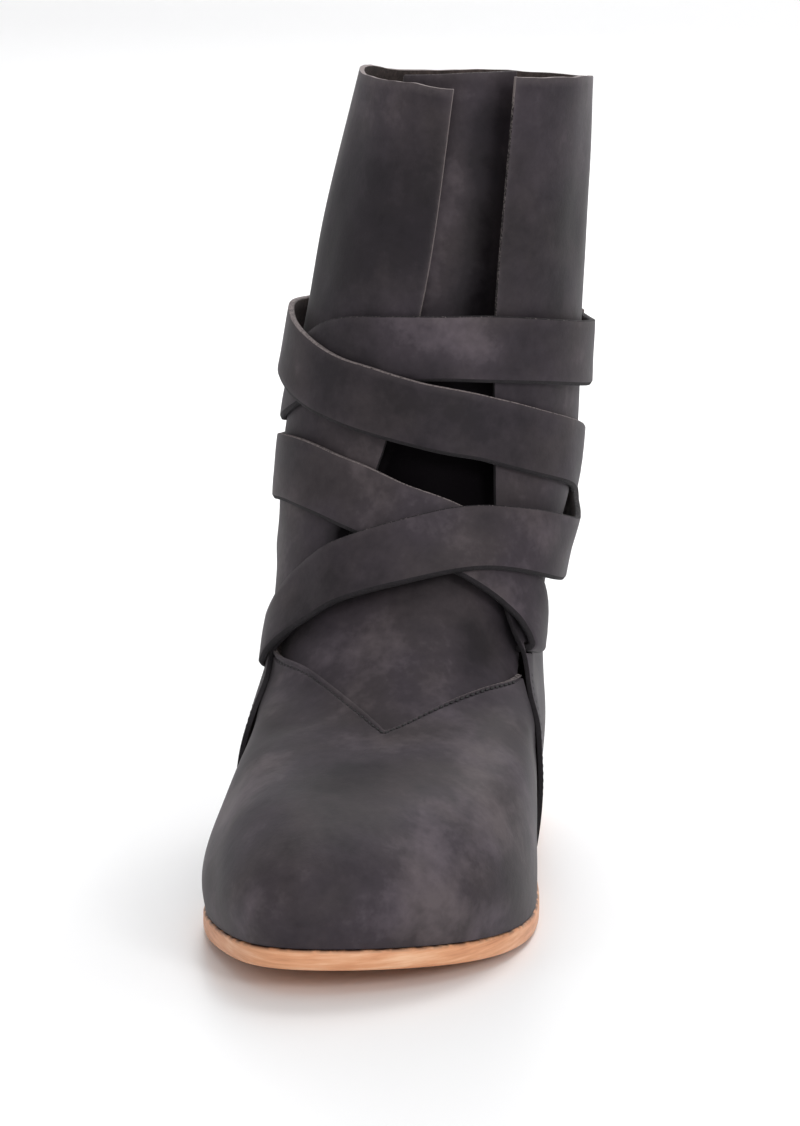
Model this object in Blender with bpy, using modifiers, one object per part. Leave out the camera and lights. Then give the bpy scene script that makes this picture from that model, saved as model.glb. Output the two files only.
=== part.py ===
"""A left viking boot: leather upper with a V-edged vamp, wrap-round quarters and two wound straps.

Sizes are in millimetres and are scaled to metres when a mesh is made. +Z is up, the toe points to -Y,
+X is the lateral side, and the origin is on the floor under the middle of the heel. The depth d of a
point is its distance behind the tip of the toe, so y = d - TIP_TO_HEEL_CENTRE.
"""
import math
from collections import namedtuple

import bmesh
import bpy
import numpy as np

MM = 0.001
TIP_TO_HEEL_CENTRE = 236.0
SOLE_THICKNESS = 6.0
SOLE_MARGIN = 0.8
TOE_SPRING = 8.0
SPRING_LENGTH = 90.0
SPRING_CURVE = 1.6
WAIST_LIFT = 1.2
WAIST_FRONT = 118.0
WAIST_BACK = 204.0
EDGE_BEVEL = 0.5
GAP = 0.3

QUARTER_WALL = 2.0
VAMP_WALL = 1.7
LAP_STEP = 1.8
LAP_FADE = 36.0
VAMP_MARGIN = 0.28
VAMP_LEVELS = 6.8
LAP_LEVEL = 6.9
LAP_LEVELS_ABOVE = 2.0
RIM_RISE = 0.15

TONGUE_THICKNESS = 2.0
INSOLE_THICKNESS = 2.0
STRAP_WIDTH = 20.6
STRAP_THICKNESS = 2.0
STRAP_GAP = 0.4
BEND_RADIUS = 1.3
SLIT_PLAY = 0.75
SLIT_REACH = 6.0
ROOT_END = 0.1
ACROSS = (-1.0, 0.0, 1.0)
BEND_ANGLES = (90.0, 60.0, 30.0, 0.0)
STRAP_SPACING = 6.5

QUARTER_COLUMNS = 50
QUARTER_ROWS = 24
VAMP_COLUMNS = 24
VAMP_ROWS = 12
TONGUE_COLUMNS = 10
TONGUE_ROWS_UP = 16
SOLE_STATIONS = 36
OUTLINE_POINTS = 200

NUBUCK = (0.035, 0.033, 0.034)
NUBUCK_ROUGHNESS = 0.62
SOLE_LEATHER = (0.62, 0.35, 0.20)
SOLE_ROUGHNESS = 0.5
FLESH_SIDE = (0.10, 0.075, 0.055)
FLESH_ROUGHNESS = 0.8

# One row for each girth line, from the feather edge up to the collar: depths and heights at the front
# and at the back, the tip's sideways offset, the sideways shift of the line, how far it follows the
# sole's curve, and its half-widths at the four STATIONS, which are shares of its length.
Ring = namedtuple("Ring", "front_d front_z back_d back_z tip_x shift follow "
                          "med_toe med_ball med_waist med_heel lat_toe lat_ball lat_waist lat_heel")
STATIONS = (0.10, 0.32, 0.60, 0.87)
RINGS = [
    Ring(1.5, 14.3, 265.0, 6.3, -8.0, 0.0, 1.00, 35.0, 49.2, 35.0, 30.5, 36.3, 49.6, 38.0, 29.3),
    Ring(-0.5, 25.0, 267.0, 19.0, -8.0, 0.0, 0.60, 36.5, 49.9, 38.0, 32.5, 37.2, 49.6, 39.5, 30.9),
    Ring(4.5, 36.5, 268.0, 34.0, -7.0, 0.0, 0.25, 32.5, 46.6, 40.8, 33.5, 33.3, 47.6, 40.4, 31.3),
    Ring(18.0, 45.0, 267.5, 47.0, -5.0, 0.0, 0.00, 27.0, 43.0, 43.0, 33.7, 28.0, 45.4, 39.2, 30.6),
    Ring(40.0, 50.5, 266.0, 57.0, -3.0, 0.0, 0.00, 25.0, 42.0, 44.4, 33.8, 25.4, 42.8, 38.4, 30.3),
    Ring(64.0, 54.0, 264.0, 66.0, -1.0, 0.0, 0.00, 25.0, 42.3, 45.2, 33.8, 25.2, 40.2, 36.8, 30.0),
    Ring(88.0, 58.5, 262.0, 75.0, 2.0, 0.0, 0.00, 25.5, 42.8, 45.4, 33.8, 25.2, 38.6, 35.4, 29.7),
    Ring(106.0, 66.0, 260.0, 84.0, 2.0, 0.0, 0.00, 26.5, 43.8, 45.3, 33.5, 25.2, 38.6, 35.6, 29.9),
    Ring(120.0, 77.0, 258.5, 94.0, 1.0, 0.0, 0.00, 27.5, 44.5, 45.2, 33.0, 26.0, 39.6, 37.0, 30.2),
    Ring(131.0, 91.0, 257.5, 105.0, 0.0, 0.0, 0.00, 28.5, 45.0, 45.3, 32.5, 27.2, 41.0, 39.6, 30.7),
    Ring(139.5, 108.0, 257.0, 119.0, 0.0, 0.0, 0.00, 29.3, 45.2, 45.3, 32.0, 28.6, 44.2, 43.2, 31.3),
    Ring(146.0, 131.0, 257.0, 138.0, 0.0, 0.5, 0.00, 29.0, 44.5, 44.5, 31.0, 29.0, 45.3, 45.2, 31.0),
    Ring(149.5, 162.0, 257.5, 165.0, 0.0, 3.5, 0.00, 27.7, 42.3, 42.5, 30.0, 28.0, 43.0, 43.0, 29.5),
    Ring(151.5, 202.0, 258.5, 203.0, 0.0, 8.5, 0.00, 26.0, 40.4, 40.8, 28.5, 26.0, 39.4, 39.4, 27.5),
    Ring(153.0, 246.5, 260.0, 243.0, 0.0, 13.5, 0.00, 23.0, 35.0, 35.4, 25.6, 24.0, 36.0, 36.0, 25.5),
]
TOP = float(len(RINGS) - 1)
SIDES = 10.0
LAST_RISE = RINGS[-1].front_z - RINGS[-2].front_z

# A place on the upper is given by level, counted in girth lines, and by turn, which is 0 at the middle
# of the front, 5 at the middle of the back, and positive on the medial side.
# The front edge of each quarter, from the feather edge past the slit to the collar.
Edge = namedtuple("Edge", "level medial lateral")
QUARTER_EDGES = [
    Edge(0.0, 2.45, -2.80),
    Edge(2.0, 2.33, -2.55),
    Edge(4.0, 2.08, -2.28),
    Edge(5.6, 1.88, -2.03),
    Edge(6.8, 1.72, -1.78),
    Edge(7.9, 1.25, -1.43),
    Edge(9.0, 0.87, -1.14),
    Edge(10.0, 0.54, -0.98),
    Edge(11.0, 0.27, -0.90),
    Edge(12.4, 0.04, -0.76),
    Edge(TOP, -0.02, -0.75),
]

# The vamp's upper edge, a V with its tip on the instep, and the collar's rise above the last girth line.
VampTop = namedtuple("VampTop", "turn level")
VAMP_TOP = [
    VampTop(-3.00, 6.30),
    VampTop(-1.85, 6.22),
    VampTop(-1.19, 6.58),
    VampTop(-0.51, 6.45),
    VampTop(-0.14, 6.07),
    VampTop(-0.05, 5.97),
    VampTop(0.04, 6.10),
    VampTop(0.41, 6.60),
    VampTop(0.94, 7.05),
    VampTop(1.72, 6.84),
    VampTop(2.75, 6.80),
]
CollarRise = namedtuple("CollarRise", "turn rise")
COLLAR = [
    CollarRise(-0.1, 0.0),
    CollarRise(1.2, 1.0),
    CollarRise(2.6, 2.8),
    CollarRise(3.8, -1.2),
    CollarRise(5.0, -2.2),
    CollarRise(6.3, -2.4),
    CollarRise(7.5, 0.4),
    CollarRise(9.3, 2.4),
]

# The tongue's reach to each side, how far its face lies inside the upper's outer form, and how much
# deeper it lies at its lateral side.
TongueRow = namedtuple("TongueRow", "level medial lateral sink slant")
TONGUE_ROWS = [
    TongueRow(5.0, 1.90, -1.90, 2.5, 0.0),
    TongueRow(7.0, 1.85, -1.90, 2.5, 0.0),
    TongueRow(8.5, 1.45, -1.65, 2.6, 0.5),
    TongueRow(10.0, 1.05, -1.40, 4.5, 2.5),
    TongueRow(11.0, 0.90, -1.30, 6.0, 4.0),
    TongueRow(12.4, 0.95, -1.20, 6.5, 4.5),
    TongueRow(TOP, 1.10, -1.05, 8.0, 2.5),
]
TONGUE_TUCK = 0.70
TONGUE_RISE = 0.07

# The middle line of each strap from its slit to its end, and its lift in layers over the leather.
Way = namedtuple("Way", "turn level layer")
STRAP_A = [
    Way(1.97, 6.80, 0.0),
    Way(1.57, 7.75, 0.0),
    Way(1.10, 8.62, 0.0),
    Way(0.55, 9.28, 1.0),
    Way(0.00, 9.68, 1.0),
    Way(-0.52, 9.88, 1.0),
    Way(-1.00, 9.82, 1.0),
    Way(-1.60, 9.52, 1.4),
    Way(-2.40, 9.06, 1.5),
    Way(-3.30, 8.92, 1.2),
    Way(-4.20, 9.30, 1.0),
    Way(-5.10, 9.95, 1.0),
    Way(-6.00, 10.65, 1.0),
    Way(-7.00, 11.20, 1.0),
    Way(-7.60, 11.38, 0.0),
    Way(-8.30, 11.66, 0.0),
    Way(-9.00, 11.97, 0.0),
    Way(-9.55, 12.06, 0.0),
    Way(-10.20, 12.09, 0.0),
    Way(-10.85, 12.06, 0.0),
    Way(-11.60, 11.97, 0.5),
    Way(-12.50, 11.83, 0.7),
    Way(-13.30, 11.76, 0.0),
    Way(-14.10, 11.74, 0.0),
    Way(-14.80, 11.74, 0.0),
]
STRAP_B = [
    Way(-2.07, 6.75, 0.2),
    Way(-1.93, 7.40, 0.2),
    Way(-1.70, 8.15, 0.1),
    Way(-1.34, 8.90, 0.0),
    Way(-0.90, 9.53, 0.0),
    Way(-0.41, 10.01, 0.0),
    Way(0.00, 10.25, 0.0),
    Way(0.39, 10.44, 0.0),
    Way(0.80, 10.57, 0.0),
    Way(1.45, 10.62, 0.0),
    Way(2.28, 10.40, 0.0),
    Way(3.20, 10.14, 0.0),
    Way(4.20, 10.08, 0.0),
    Way(5.20, 10.13, 0.0),
    Way(6.20, 10.24, 0.0),
    Way(7.10, 10.38, 0.0),
    Way(7.75, 10.70, 0.0),
    Way(8.60, 11.06, 0.0),
    Way(9.20, 11.29, 0.0),
    Way(9.60, 11.40, 0.3),
    Way(10.00, 11.50, 1.0),
    Way(10.50, 11.61, 1.0),
    Way(11.10, 11.72, 1.0),
    Way(12.00, 11.90, 1.5),
    Way(12.80, 11.90, 2.0),
    Way(13.70, 11.82, 1.5),
    Way(14.60, 11.76, 1.0),
    Way(15.50, 11.74, 1.0),
    Way(16.40, 11.74, 1.0),
]


def clamp(value, low=0.0, high=1.0):
    return min(max(value, low), high)


def ease(t):
    """Smooth step from 0 to 1."""
    t = clamp(t)
    return t * t * (3.0 - 2.0 * t)


def read_table(rows, t):
    """Columns of a table, whose first column is the place, read at the place t on smooth curves."""
    table = np.array([tuple(row) for row in rows], dtype=float)
    place, values = table[:, 0], table[:, 1:]
    slopes = np.gradient(values, place, axis=0)
    t = clamp(t, place[0], place[-1])
    i = min(int(np.searchsorted(place, t, side="right")) - 1, len(place) - 2)
    span = place[i + 1] - place[i]
    q = (t - place[i]) / span
    return ((1 + 2 * q) * (1 - q) ** 2 * values[i] + q * (1 - q) ** 2 * span * slopes[i]
            + q * q * (3 - 2 * q) * values[i + 1] + q * q * (q - 1) * span * slopes[i + 1])


def sole_bottom(d):
    """Height of the sole's underside: toe spring in front, two flat seats and a slight arch between."""
    spring = TOE_SPRING * max(0.0, 1.0 - d / SPRING_LENGTH) ** SPRING_CURVE
    across = clamp((d - WAIST_FRONT) / (WAIST_BACK - WAIST_FRONT))
    return spring + WAIST_LIFT * math.sin(math.pi * across) ** 2


def sole_top(d):
    return sole_bottom(d) + SOLE_THICKNESS


def ring_points(ring):
    """The ten points of a girth line: front, four medial, back, four lateral."""
    sides = [(ring.tip_x, 0.0)]
    medial = (ring.med_toe, ring.med_ball, ring.med_waist, ring.med_heel)
    lateral = (ring.lat_toe, ring.lat_ball, ring.lat_waist, ring.lat_heel)
    sides += [(-width, share) for width, share in zip(medial, STATIONS)]
    sides += [(0.0, 1.0)]
    sides += [(width, share) for width, share in reversed(list(zip(lateral, STATIONS)))]
    base = RINGS[0]
    points = []
    for x, share in sides:
        d = ring.front_d + share * (ring.back_d - ring.front_d)
        level = ring.front_z + share * (ring.back_z - ring.front_z)
        base_level = base.front_z + share * (base.back_z - base.front_z)
        z = level + ring.follow * (sole_top(d) + GAP - base_level)
        points.append((x + ring.shift, d - TIP_TO_HEEL_CENTRE, z))
    return points


def open_bends(values):
    """Second derivatives of the natural cubic spline through evenly spaced rows."""
    count = len(values)
    matrix = np.eye(count)
    right = np.zeros_like(values)
    for i in range(1, count - 1):
        matrix[i, i - 1:i + 2] = (1.0, 4.0, 1.0)
        right[i] = 6.0 * (values[i - 1] - 2.0 * values[i] + values[i + 1])
    flat = np.linalg.solve(matrix, right.reshape(count, -1))
    return flat.reshape(values.shape)


def closed_solver(count):
    """Matrix from second differences to second derivatives of a closed, evenly spaced cubic spline."""
    unit = np.eye(count)
    return 6.0 * np.linalg.inv(4.0 * unit + np.roll(unit, 1, 0) + np.roll(unit, -1, 0))


def blend(first, second, first_bend, second_bend, q):
    """Value of a cubic spline between two of its points, which are one step apart."""
    p = 1.0 - q
    return p * first + q * second + ((p ** 3 - p) * first_bend + (q ** 3 - q) * second_bend) / 6.0


NET = np.array([ring_points(ring) for ring in RINGS])
NET_BENDS = open_bends(NET)
CLOSED = closed_solver(int(SIDES))


def surface(turn, level):
    """Point of the upper's outer form, in millimetres."""
    i = int(clamp(math.floor(level), 0, len(RINGS) - 2))
    net = blend(NET[i], NET[i + 1], NET_BENDS[i], NET_BENDS[i + 1], level - i)
    bends = CLOSED @ (np.roll(net, 1, 0) - 2.0 * net + np.roll(net, -1, 0))
    place = turn % SIDES
    j = int(place) % int(SIDES)
    k = (j + 1) % int(SIDES)
    return blend(net[j], net[k], bends[j], bends[k], place - int(place))


def unit(vector):
    return vector / np.linalg.norm(vector)


def slopes(turn, level):
    step = 0.02
    along = (surface(turn + step, level) - surface(turn - step, level)) / (2.0 * step)
    up = (surface(turn, level + step) - surface(turn, level - step)) / (2.0 * step)
    return along, up


def normal(turn, level):
    """Outward direction, turned level along the feather edge so that the rim lies flat on the sole."""
    along, up = slopes(turn, level)
    outward = unit(np.cross(up, along))
    outward[2] *= ease(level)
    return unit(outward)


def lifted(turn, level, height):
    return surface(turn, level) + height * normal(turn, level)


def quarter_edge(turn, level):
    """Turn of the front edge of the quarter on that side."""
    medial, lateral = read_table(QUARTER_EDGES, level)
    return medial if turn > 0 else lateral


def lap_height(turn, level):
    """Height of the quarter's step over the vamp: full at its front edge, fading back and upward."""
    reach = np.linalg.norm(surface(turn, level) - surface(quarter_edge(turn, level), level))
    above = ease((level - LAP_LEVEL) / LAP_LEVELS_ABOVE)
    return LAP_STEP * (1.0 - ease(reach / LAP_FADE)) * (1.0 - above)


def signed_turn(turn):
    """The same place with its turn between -5 and 5."""
    return (turn + SIDES / 2) % SIDES - SIDES / 2


def quarter_place(a, b):
    """Turn and level on the quarters: a runs from the medial edge round the back to the lateral edge."""
    medial, lateral = read_table(QUARTER_EDGES, b * TOP)
    turn = medial + a * (SIDES + lateral - medial)
    rise = read_table(COLLAR, turn)[0] / LAST_RISE
    return turn, b * (TOP + rise)


def quarter_outer(a, b):
    turn, level = quarter_place(a, b)
    return lifted(turn, level, lap_height(signed_turn(turn), level))


def quarter_inner(a, b):
    turn, level = quarter_place(a, b)
    return lifted(turn, level, -QUARTER_WALL)


def vamp_point(a, b):
    """Outer face of the vamp: a runs from the lateral side round the toe, b from the sole to the V edge."""
    medial, lateral = read_table(QUARTER_EDGES, b * VAMP_LEVELS)
    turn = lateral - VAMP_MARGIN + a * (medial - lateral + 2.0 * VAMP_MARGIN)
    point = surface(turn, b * read_table(VAMP_TOP, turn)[0])
    point[2] += RIM_RISE * (1.0 - ease(4.0 * b))
    return point


def tongue_point(a, b):
    """Outer face of the tongue: a runs from the lateral to the medial side, b from its tucked end up."""
    level = TONGUE_ROWS[0].level + b * (TOP - TONGUE_ROWS[0].level)
    for _ in range(4):
        medial, lateral, sink, slant = read_table(TONGUE_ROWS, level)
        turn = lateral + a * (medial - lateral)
        start = read_table(VAMP_TOP, turn)[0] - TONGUE_TUCK
        level = start + b * (TOP + TONGUE_RISE - start)
    return lifted(turn, level, -sink - slant * (1.0 - a) ** 2)


def mesh_object(name, verts, faces, collection):
    """Mesh object in metres."""
    mesh = bpy.data.meshes.new(name)
    mesh.from_pydata([tuple(float(c) * MM for c in v) for v in verts], [], faces)
    item = bpy.data.objects.new(name, mesh)
    collection.objects.link(item)
    return item


def turn_outward(item):
    shell = bmesh.new()
    shell.from_mesh(item.data)
    bmesh.ops.recalc_face_normals(shell, faces=shell.faces)
    shell.to_mesh(item.data)
    shell.free()


def grid_faces(columns, rows, start=0):
    """Quads of a grid whose columns follow the turn and whose rows rise, facing outward."""
    wide = columns + 1
    faces = []
    for j in range(rows):
        for i in range(columns):
            low = start + j * wide + i
            faces.append([low, low + wide, low + wide + 1, low + 1])
    return faces


def grid_points(point, columns, rows):
    return [point(i / columns, j / rows) for j in range(rows + 1) for i in range(columns + 1)]


def leather_sheet(name, point, columns, rows, wall, collection):
    """Open surface made solid with a wall of even thickness on its inner side."""
    item = mesh_object(name, grid_points(point, columns, rows), grid_faces(columns, rows), collection)
    solid = item.modifiers.new("wall", "SOLIDIFY")
    solid.thickness = wall * MM
    solid.offset = -1.0
    solid.use_even_offset = True
    return item


def loft(name, sections, collection):
    """Closed solid through sections of equal, even point count: each runs out along one face and back."""
    count = len(sections[0])
    faces = []
    for k in range(len(sections) - 1):
        for i in range(count):
            j = (i + 1) % count
            low = k * count
            faces.append([low + i, low + j, low + count + j, low + count + i])
    for low in (0, (len(sections) - 1) * count):
        for i in range(count // 2 - 1):
            faces.append([low + i, low + i + 1, low + count - 2 - i, low + count - 1 - i])
    item = mesh_object(name, [point for section in sections for point in section], faces, collection)
    turn_outward(item)
    return item


def quarter_section(a, rows):
    """Loop of the quarters' wall at one turn: up the outer face and down the inner face."""
    outer = [quarter_outer(a, j / rows) for j in range(rows + 1)]
    inner = [quarter_inner(a, j / rows) for j in range(rows, -1, -1)]
    return outer + inner


def outline(margin):
    """Rows of depth, medial and lateral x along the feather edge, moved outward by the margin."""
    sides = []
    for back in (SIDES / 2, -SIDES / 2):
        turns = np.linspace(0.0, back, OUTLINE_POINTS)
        points = np.array([lifted(turn, 0.0, 0.0)[:2] for turn in turns])
        along = np.gradient(points, axis=0)
        across = np.stack([along[:, 1], -along[:, 0]], axis=1) * (-1.0 if back > 0 else 1.0)
        across /= np.linalg.norm(across, axis=1)[:, None]
        sides.append(points + margin * across)
    return sides


def by_depth(side):
    """Rising y and the x there, from the tip to the heel."""
    keep = [0]
    for i in range(1, len(side)):
        if side[i, 1] > side[keep[-1], 1] + 0.001:
            keep.append(i)
    return side[keep, 1], side[keep, 0]


def flat_layer(name, margin, bottom, top, stations, collection):
    """Closed layer under the upper: its outline is the feather edge moved outward by the margin."""
    medial, lateral = [by_depth(side) for side in outline(margin)]
    front = max(medial[0][0], lateral[0][0]) + 0.1
    back = min(medial[0][-1], lateral[0][-1]) - 0.1
    sections = []
    for i in range(stations + 1):
        y = front + (back - front) * 0.5 * (1.0 - math.cos(math.pi * i / stations))
        d = y + TIP_TO_HEEL_CENTRE
        inside = np.interp(y, *medial)
        outside = np.interp(y, *lateral)
        sections.append([(inside, y, bottom(d)), (outside, y, bottom(d)),
                         (outside, y, top(d)), (inside, y, top(d))])
    return loft(name, sections, collection)


def sample_way(ways, t):
    """Turn, level and layer at the place t along a strap's ways."""
    table = np.array([tuple(way) for way in ways], dtype=float)
    i = min(int(t), len(ways) - 2)
    bends = open_bends(table[:, :2])
    turn, level = blend(table[i, :2], table[i + 1, :2], bends[i], bends[i + 1], t - i)
    first, second = table[i, 2], table[i + 1, 2]
    return turn, level, first + (second - first) * ease(t - i)


def strap_lift(turn, level, layer):
    """Height of a strap's inner face over the upper's outer form."""
    return lap_height(signed_turn(turn), level) + STRAP_GAP + layer * (STRAP_THICKNESS + GAP)


def even_places(ways, spacing):
    """Places along the ways that lie evenly apart on the leather."""
    fine = np.linspace(0.0, len(ways) - 1.0, 12 * len(ways))
    points = np.array([surface(*sample_way(ways, t)[:2]) for t in fine])
    run = np.concatenate([[0.0], np.cumsum(np.linalg.norm(np.diff(points, axis=0), axis=1))])
    count = int(run[-1] / spacing)
    return np.interp(np.linspace(0.0, run[-1], count + 1), run, fine)


def strap_frame(ways, t):
    """Turn, level and layer there, and the directions along and across the strap."""
    turn, level, layer = sample_way(ways, t)
    behind = surface(*sample_way(ways, max(t - 0.05, 0.0))[:2])
    ahead = surface(*sample_way(ways, min(t + 0.05, len(ways) - 1.0))[:2])
    outward = normal(turn, level)
    along = ahead - behind
    along = unit(along - outward * (along @ outward))
    return turn, level, layer, outward, along, np.cross(outward, along)


def beside(turn, level, offset):
    """Place on the leather nearest to a point that lies beside the given place."""
    place = np.array([turn, level])
    target = surface(turn, level) + offset
    for _ in range(4):
        step_turn, step_level = slopes(*place)
        jacobian = np.stack([step_turn, step_level], 1)
        place = place + np.linalg.lstsq(jacobian, target - surface(*place), rcond=None)[0]
    return place


def strap_section(ways, t):
    """Loop of six points round the strap, which follows the leather across its width."""
    turn, level, layer, _, _, across = strap_frame(ways, t)
    inner, outer = [], []
    for side in ACROSS:
        place = beside(turn, level, side * across * STRAP_WIDTH / 2)
        height = strap_lift(*place, layer)
        inner.append(lifted(*place, height))
        outer.append(lifted(*place, height + STRAP_THICKNESS))
    return inner + outer[::-1]


def root_line(ways, side):
    """Pairs of inner and outer points along one side of the root: out through the slit, round its lip."""
    turn, level, layer, _, along, across = strap_frame(ways, 0.0)
    place = beside(turn, level, side * across * STRAP_WIDTH / 2)
    foot = surface(*place)
    outward = normal(*place)
    along = unit(along - outward * (along @ outward))
    middle = strap_lift(*place, layer) + STRAP_THICKNESS / 2
    spine = [(foot - outward * (QUARTER_WALL - ROOT_END), -along)]
    for angle in BEND_ANGLES:
        turned = outward * math.cos(math.radians(angle)) - along * math.sin(math.radians(angle))
        centre = foot + along * BEND_RADIUS + outward * (middle - BEND_RADIUS)
        spine.append((centre + BEND_RADIUS * turned, turned))
    half = STRAP_THICKNESS / 2
    return [(point - face * half, point + face * half) for point, face in spine]


def root_sections(ways):
    lines = [root_line(ways, side) for side in ACROSS]
    return [[line[k][0] for line in lines] + [line[k][1] for line in reversed(lines)]
            for k in range(len(lines[0]))]


def strap(name, ways, collection):
    places = even_places(ways, STRAP_SPACING)
    sections = root_sections(ways) + [strap_section(ways, t) for t in places[1:]]
    return loft(name, sections, collection)


def slit_cutter(name, ways, collection):
    """Curved block through the quarter's wall where the strap's root passes."""
    turn, level, _, _, along, across = strap_frame(ways, 0.0)
    high = STRAP_THICKNESS / 2 + SLIT_PLAY
    sections = []
    for side in ACROSS:
        place = beside(turn, level, side * across * (STRAP_WIDTH / 2 + SLIT_PLAY))
        foot, outward = surface(*place), normal(*place)
        corners = ((-high, -SLIT_REACH), (high, -SLIT_REACH), (high, SLIT_REACH), (-high, SLIT_REACH))
        sections.append([foot + i * along + k * outward for i, k in corners])
    return loft(name, sections, collection)


def flatten(item):
    """Split bent faces into flat triangles, which the Booleans and the solid model need."""
    item.modifiers.new("flat faces", "TRIANGULATE")


def combine(item, other, operation):
    """Boolean with a helper that is kept out of the render."""
    flatten(other)
    change = item.modifiers.new(other.name, "BOOLEAN")
    change.operation = operation
    change.object = other
    change.solver = "EXACT"
    other.hide_render = True
    other.display_type = "WIRE"


def bevel_rim(item, width):
    rim = item.modifiers.new("rim", "BEVEL")
    rim.width = width * MM
    rim.segments = 1
    rim.limit_method = "ANGLE"
    rim.angle_limit = math.radians(60.0)


def paint(item, colour, roughness):
    """Own material for one sub-part."""
    material = bpy.data.materials.new(item.name)
    material.use_nodes = True
    shader = material.node_tree.nodes["Principled BSDF"]
    shader.inputs["Base Color"].default_value = (*colour, 1.0)
    shader.inputs["Roughness"].default_value = roughness
    shader.inputs["Metallic"].default_value = 0.0
    material.diffuse_color = (*colour, 1.0)
    item.data.materials.append(material)


def new_collection(name):
    collection = bpy.data.collections.new(name)
    bpy.context.scene.collection.children.link(collection)
    return collection


def build_upper(parts, cutters):
    sections = [quarter_section(i / QUARTER_COLUMNS, QUARTER_ROWS) for i in range(QUARTER_COLUMNS + 1)]
    upper = loft("upper", sections, parts)
    flatten(upper)
    vamp = leather_sheet("vamp_form", vamp_point, VAMP_COLUMNS, VAMP_ROWS, VAMP_WALL, cutters)
    combine(upper, vamp, "UNION")
    combine(upper, slit_cutter("slit_a", STRAP_A, cutters), "DIFFERENCE")
    combine(upper, slit_cutter("slit_b", STRAP_B, cutters), "DIFFERENCE")
    return upper


def insole_bottom(d):
    return sole_top(d) + GAP


def insole_top(d):
    return sole_top(d) + GAP + INSOLE_THICKNESS


def build_sole(parts):
    outsole = flat_layer("outsole", SOLE_MARGIN, sole_bottom, sole_top, SOLE_STATIONS, parts)
    bevel_rim(outsole, EDGE_BEVEL)
    insole = flat_layer("insole", -QUARTER_WALL - GAP, insole_bottom, insole_top, SOLE_STATIONS, parts)
    return outsole, insole


def main():
    for item in list(bpy.data.objects):
        bpy.data.objects.remove(item, do_unlink=True)
    parts = new_collection("viking_boot")
    cutters = new_collection("cutters")
    upper = build_upper(parts, cutters)
    outsole, insole = build_sole(parts)
    tongue = leather_sheet("tongue", tongue_point, TONGUE_COLUMNS, TONGUE_ROWS_UP,
                           TONGUE_THICKNESS, parts)
    straps = [strap("strap_a", STRAP_A, parts), strap("strap_b", STRAP_B, parts)]
    for item in [tongue] + straps:
        flatten(item)
    for item in [upper, tongue] + straps:
        paint(item, NUBUCK, NUBUCK_ROUGHNESS)
    paint(outsole, SOLE_LEATHER, SOLE_ROUGHNESS)
    paint(insole, FLESH_SIDE, FLESH_ROUGHNESS)


main()
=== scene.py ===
"""Looks of the viking boot: smooth leather panels, seams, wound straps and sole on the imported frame.

Sizes are in millimetres and are scaled to metres when a mesh is made. +Z is up, the toe points to -Y and
+X is the lateral side. A place on the upper is given by its turn and level, as in the part's source.
"""
import math
from collections import namedtuple

import bmesh
import bpy
import numpy as np
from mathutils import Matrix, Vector, noise


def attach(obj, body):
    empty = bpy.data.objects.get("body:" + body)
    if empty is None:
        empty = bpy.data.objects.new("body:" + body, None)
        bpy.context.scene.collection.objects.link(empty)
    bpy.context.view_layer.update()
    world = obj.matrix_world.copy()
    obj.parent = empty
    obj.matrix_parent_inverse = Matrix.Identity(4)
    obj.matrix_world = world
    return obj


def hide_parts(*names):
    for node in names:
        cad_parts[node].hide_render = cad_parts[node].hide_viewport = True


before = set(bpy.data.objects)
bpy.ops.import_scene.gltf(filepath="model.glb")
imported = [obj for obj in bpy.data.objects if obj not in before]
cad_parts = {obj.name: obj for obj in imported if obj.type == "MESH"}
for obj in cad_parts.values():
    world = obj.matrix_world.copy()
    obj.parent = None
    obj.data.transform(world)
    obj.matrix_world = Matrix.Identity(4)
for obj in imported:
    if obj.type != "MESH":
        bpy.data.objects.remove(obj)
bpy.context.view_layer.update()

MM = 0.001

# The sole, by the distance behind the tip of the toe.
TIP_TO_HEEL_CENTRE = 236.0
SOLE_THICKNESS = 6.0
SOLE_MARGIN = 0.8
TOE_SPRING = 8.0
SPRING_LENGTH = 90.0
SPRING_CURVE = 1.6
WAIST_LIFT = 1.2
WAIST_FRONT = 118.0
WAIST_BACK = 204.0
GAP = 0.3
OUTLINE_COUNT = 320

# The leather sheets, and the quarters' step over the vamp, which fades out backward and upward.
LEATHER = 1.6
LAP_STEP = 1.8
LAP_FADE = 36.0
LAP_LEVEL = 6.9
LAP_LEVELS_ABOVE = 2.0
VAMP_MARGIN = 0.08
VAMP_LEVELS = 6.8
QUARTER_WALL = 2.0
INSOLE_THICKNESS = 2.0

# The straps and their slits.
STRAP_WIDTH = 20.6
STRAP_THICKNESS = 2.0
STRAP_GAP = 0.4
BEND_RADIUS = 1.3
SLIT_PLAY = 0.75
SLIT_SECTIONS = 9
SLIT_DEPTH = 3.0 * QUARTER_WALL

# How the straps follow their ways, drift and swell, and turn out of the slits.
STRAP_SPACING = 2.2
STRAP_DRIFT = 0.03
DRIFT_PACE = 1.3
DRIFT_LINE = (15.0, 0.5)
STRAP_SWELL_SIZE = 22.0
STRAP_SWELL_HEIGHT = 0.5
STRAP_CLOUD_SIZE = 30.0
STRAP_CLOUD_TONE = 0.18
WAY_SAMPLES = 24
WAY_STEP = 0.05
SETTLE_ROUNDS = 4
ROOT_PLACES = 2
ROOT_SINK = 0.9
ROOT_ANGLES = (90.0, 75.0, 60.0, 45.0, 30.0, 15.0, 0.0)

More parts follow.
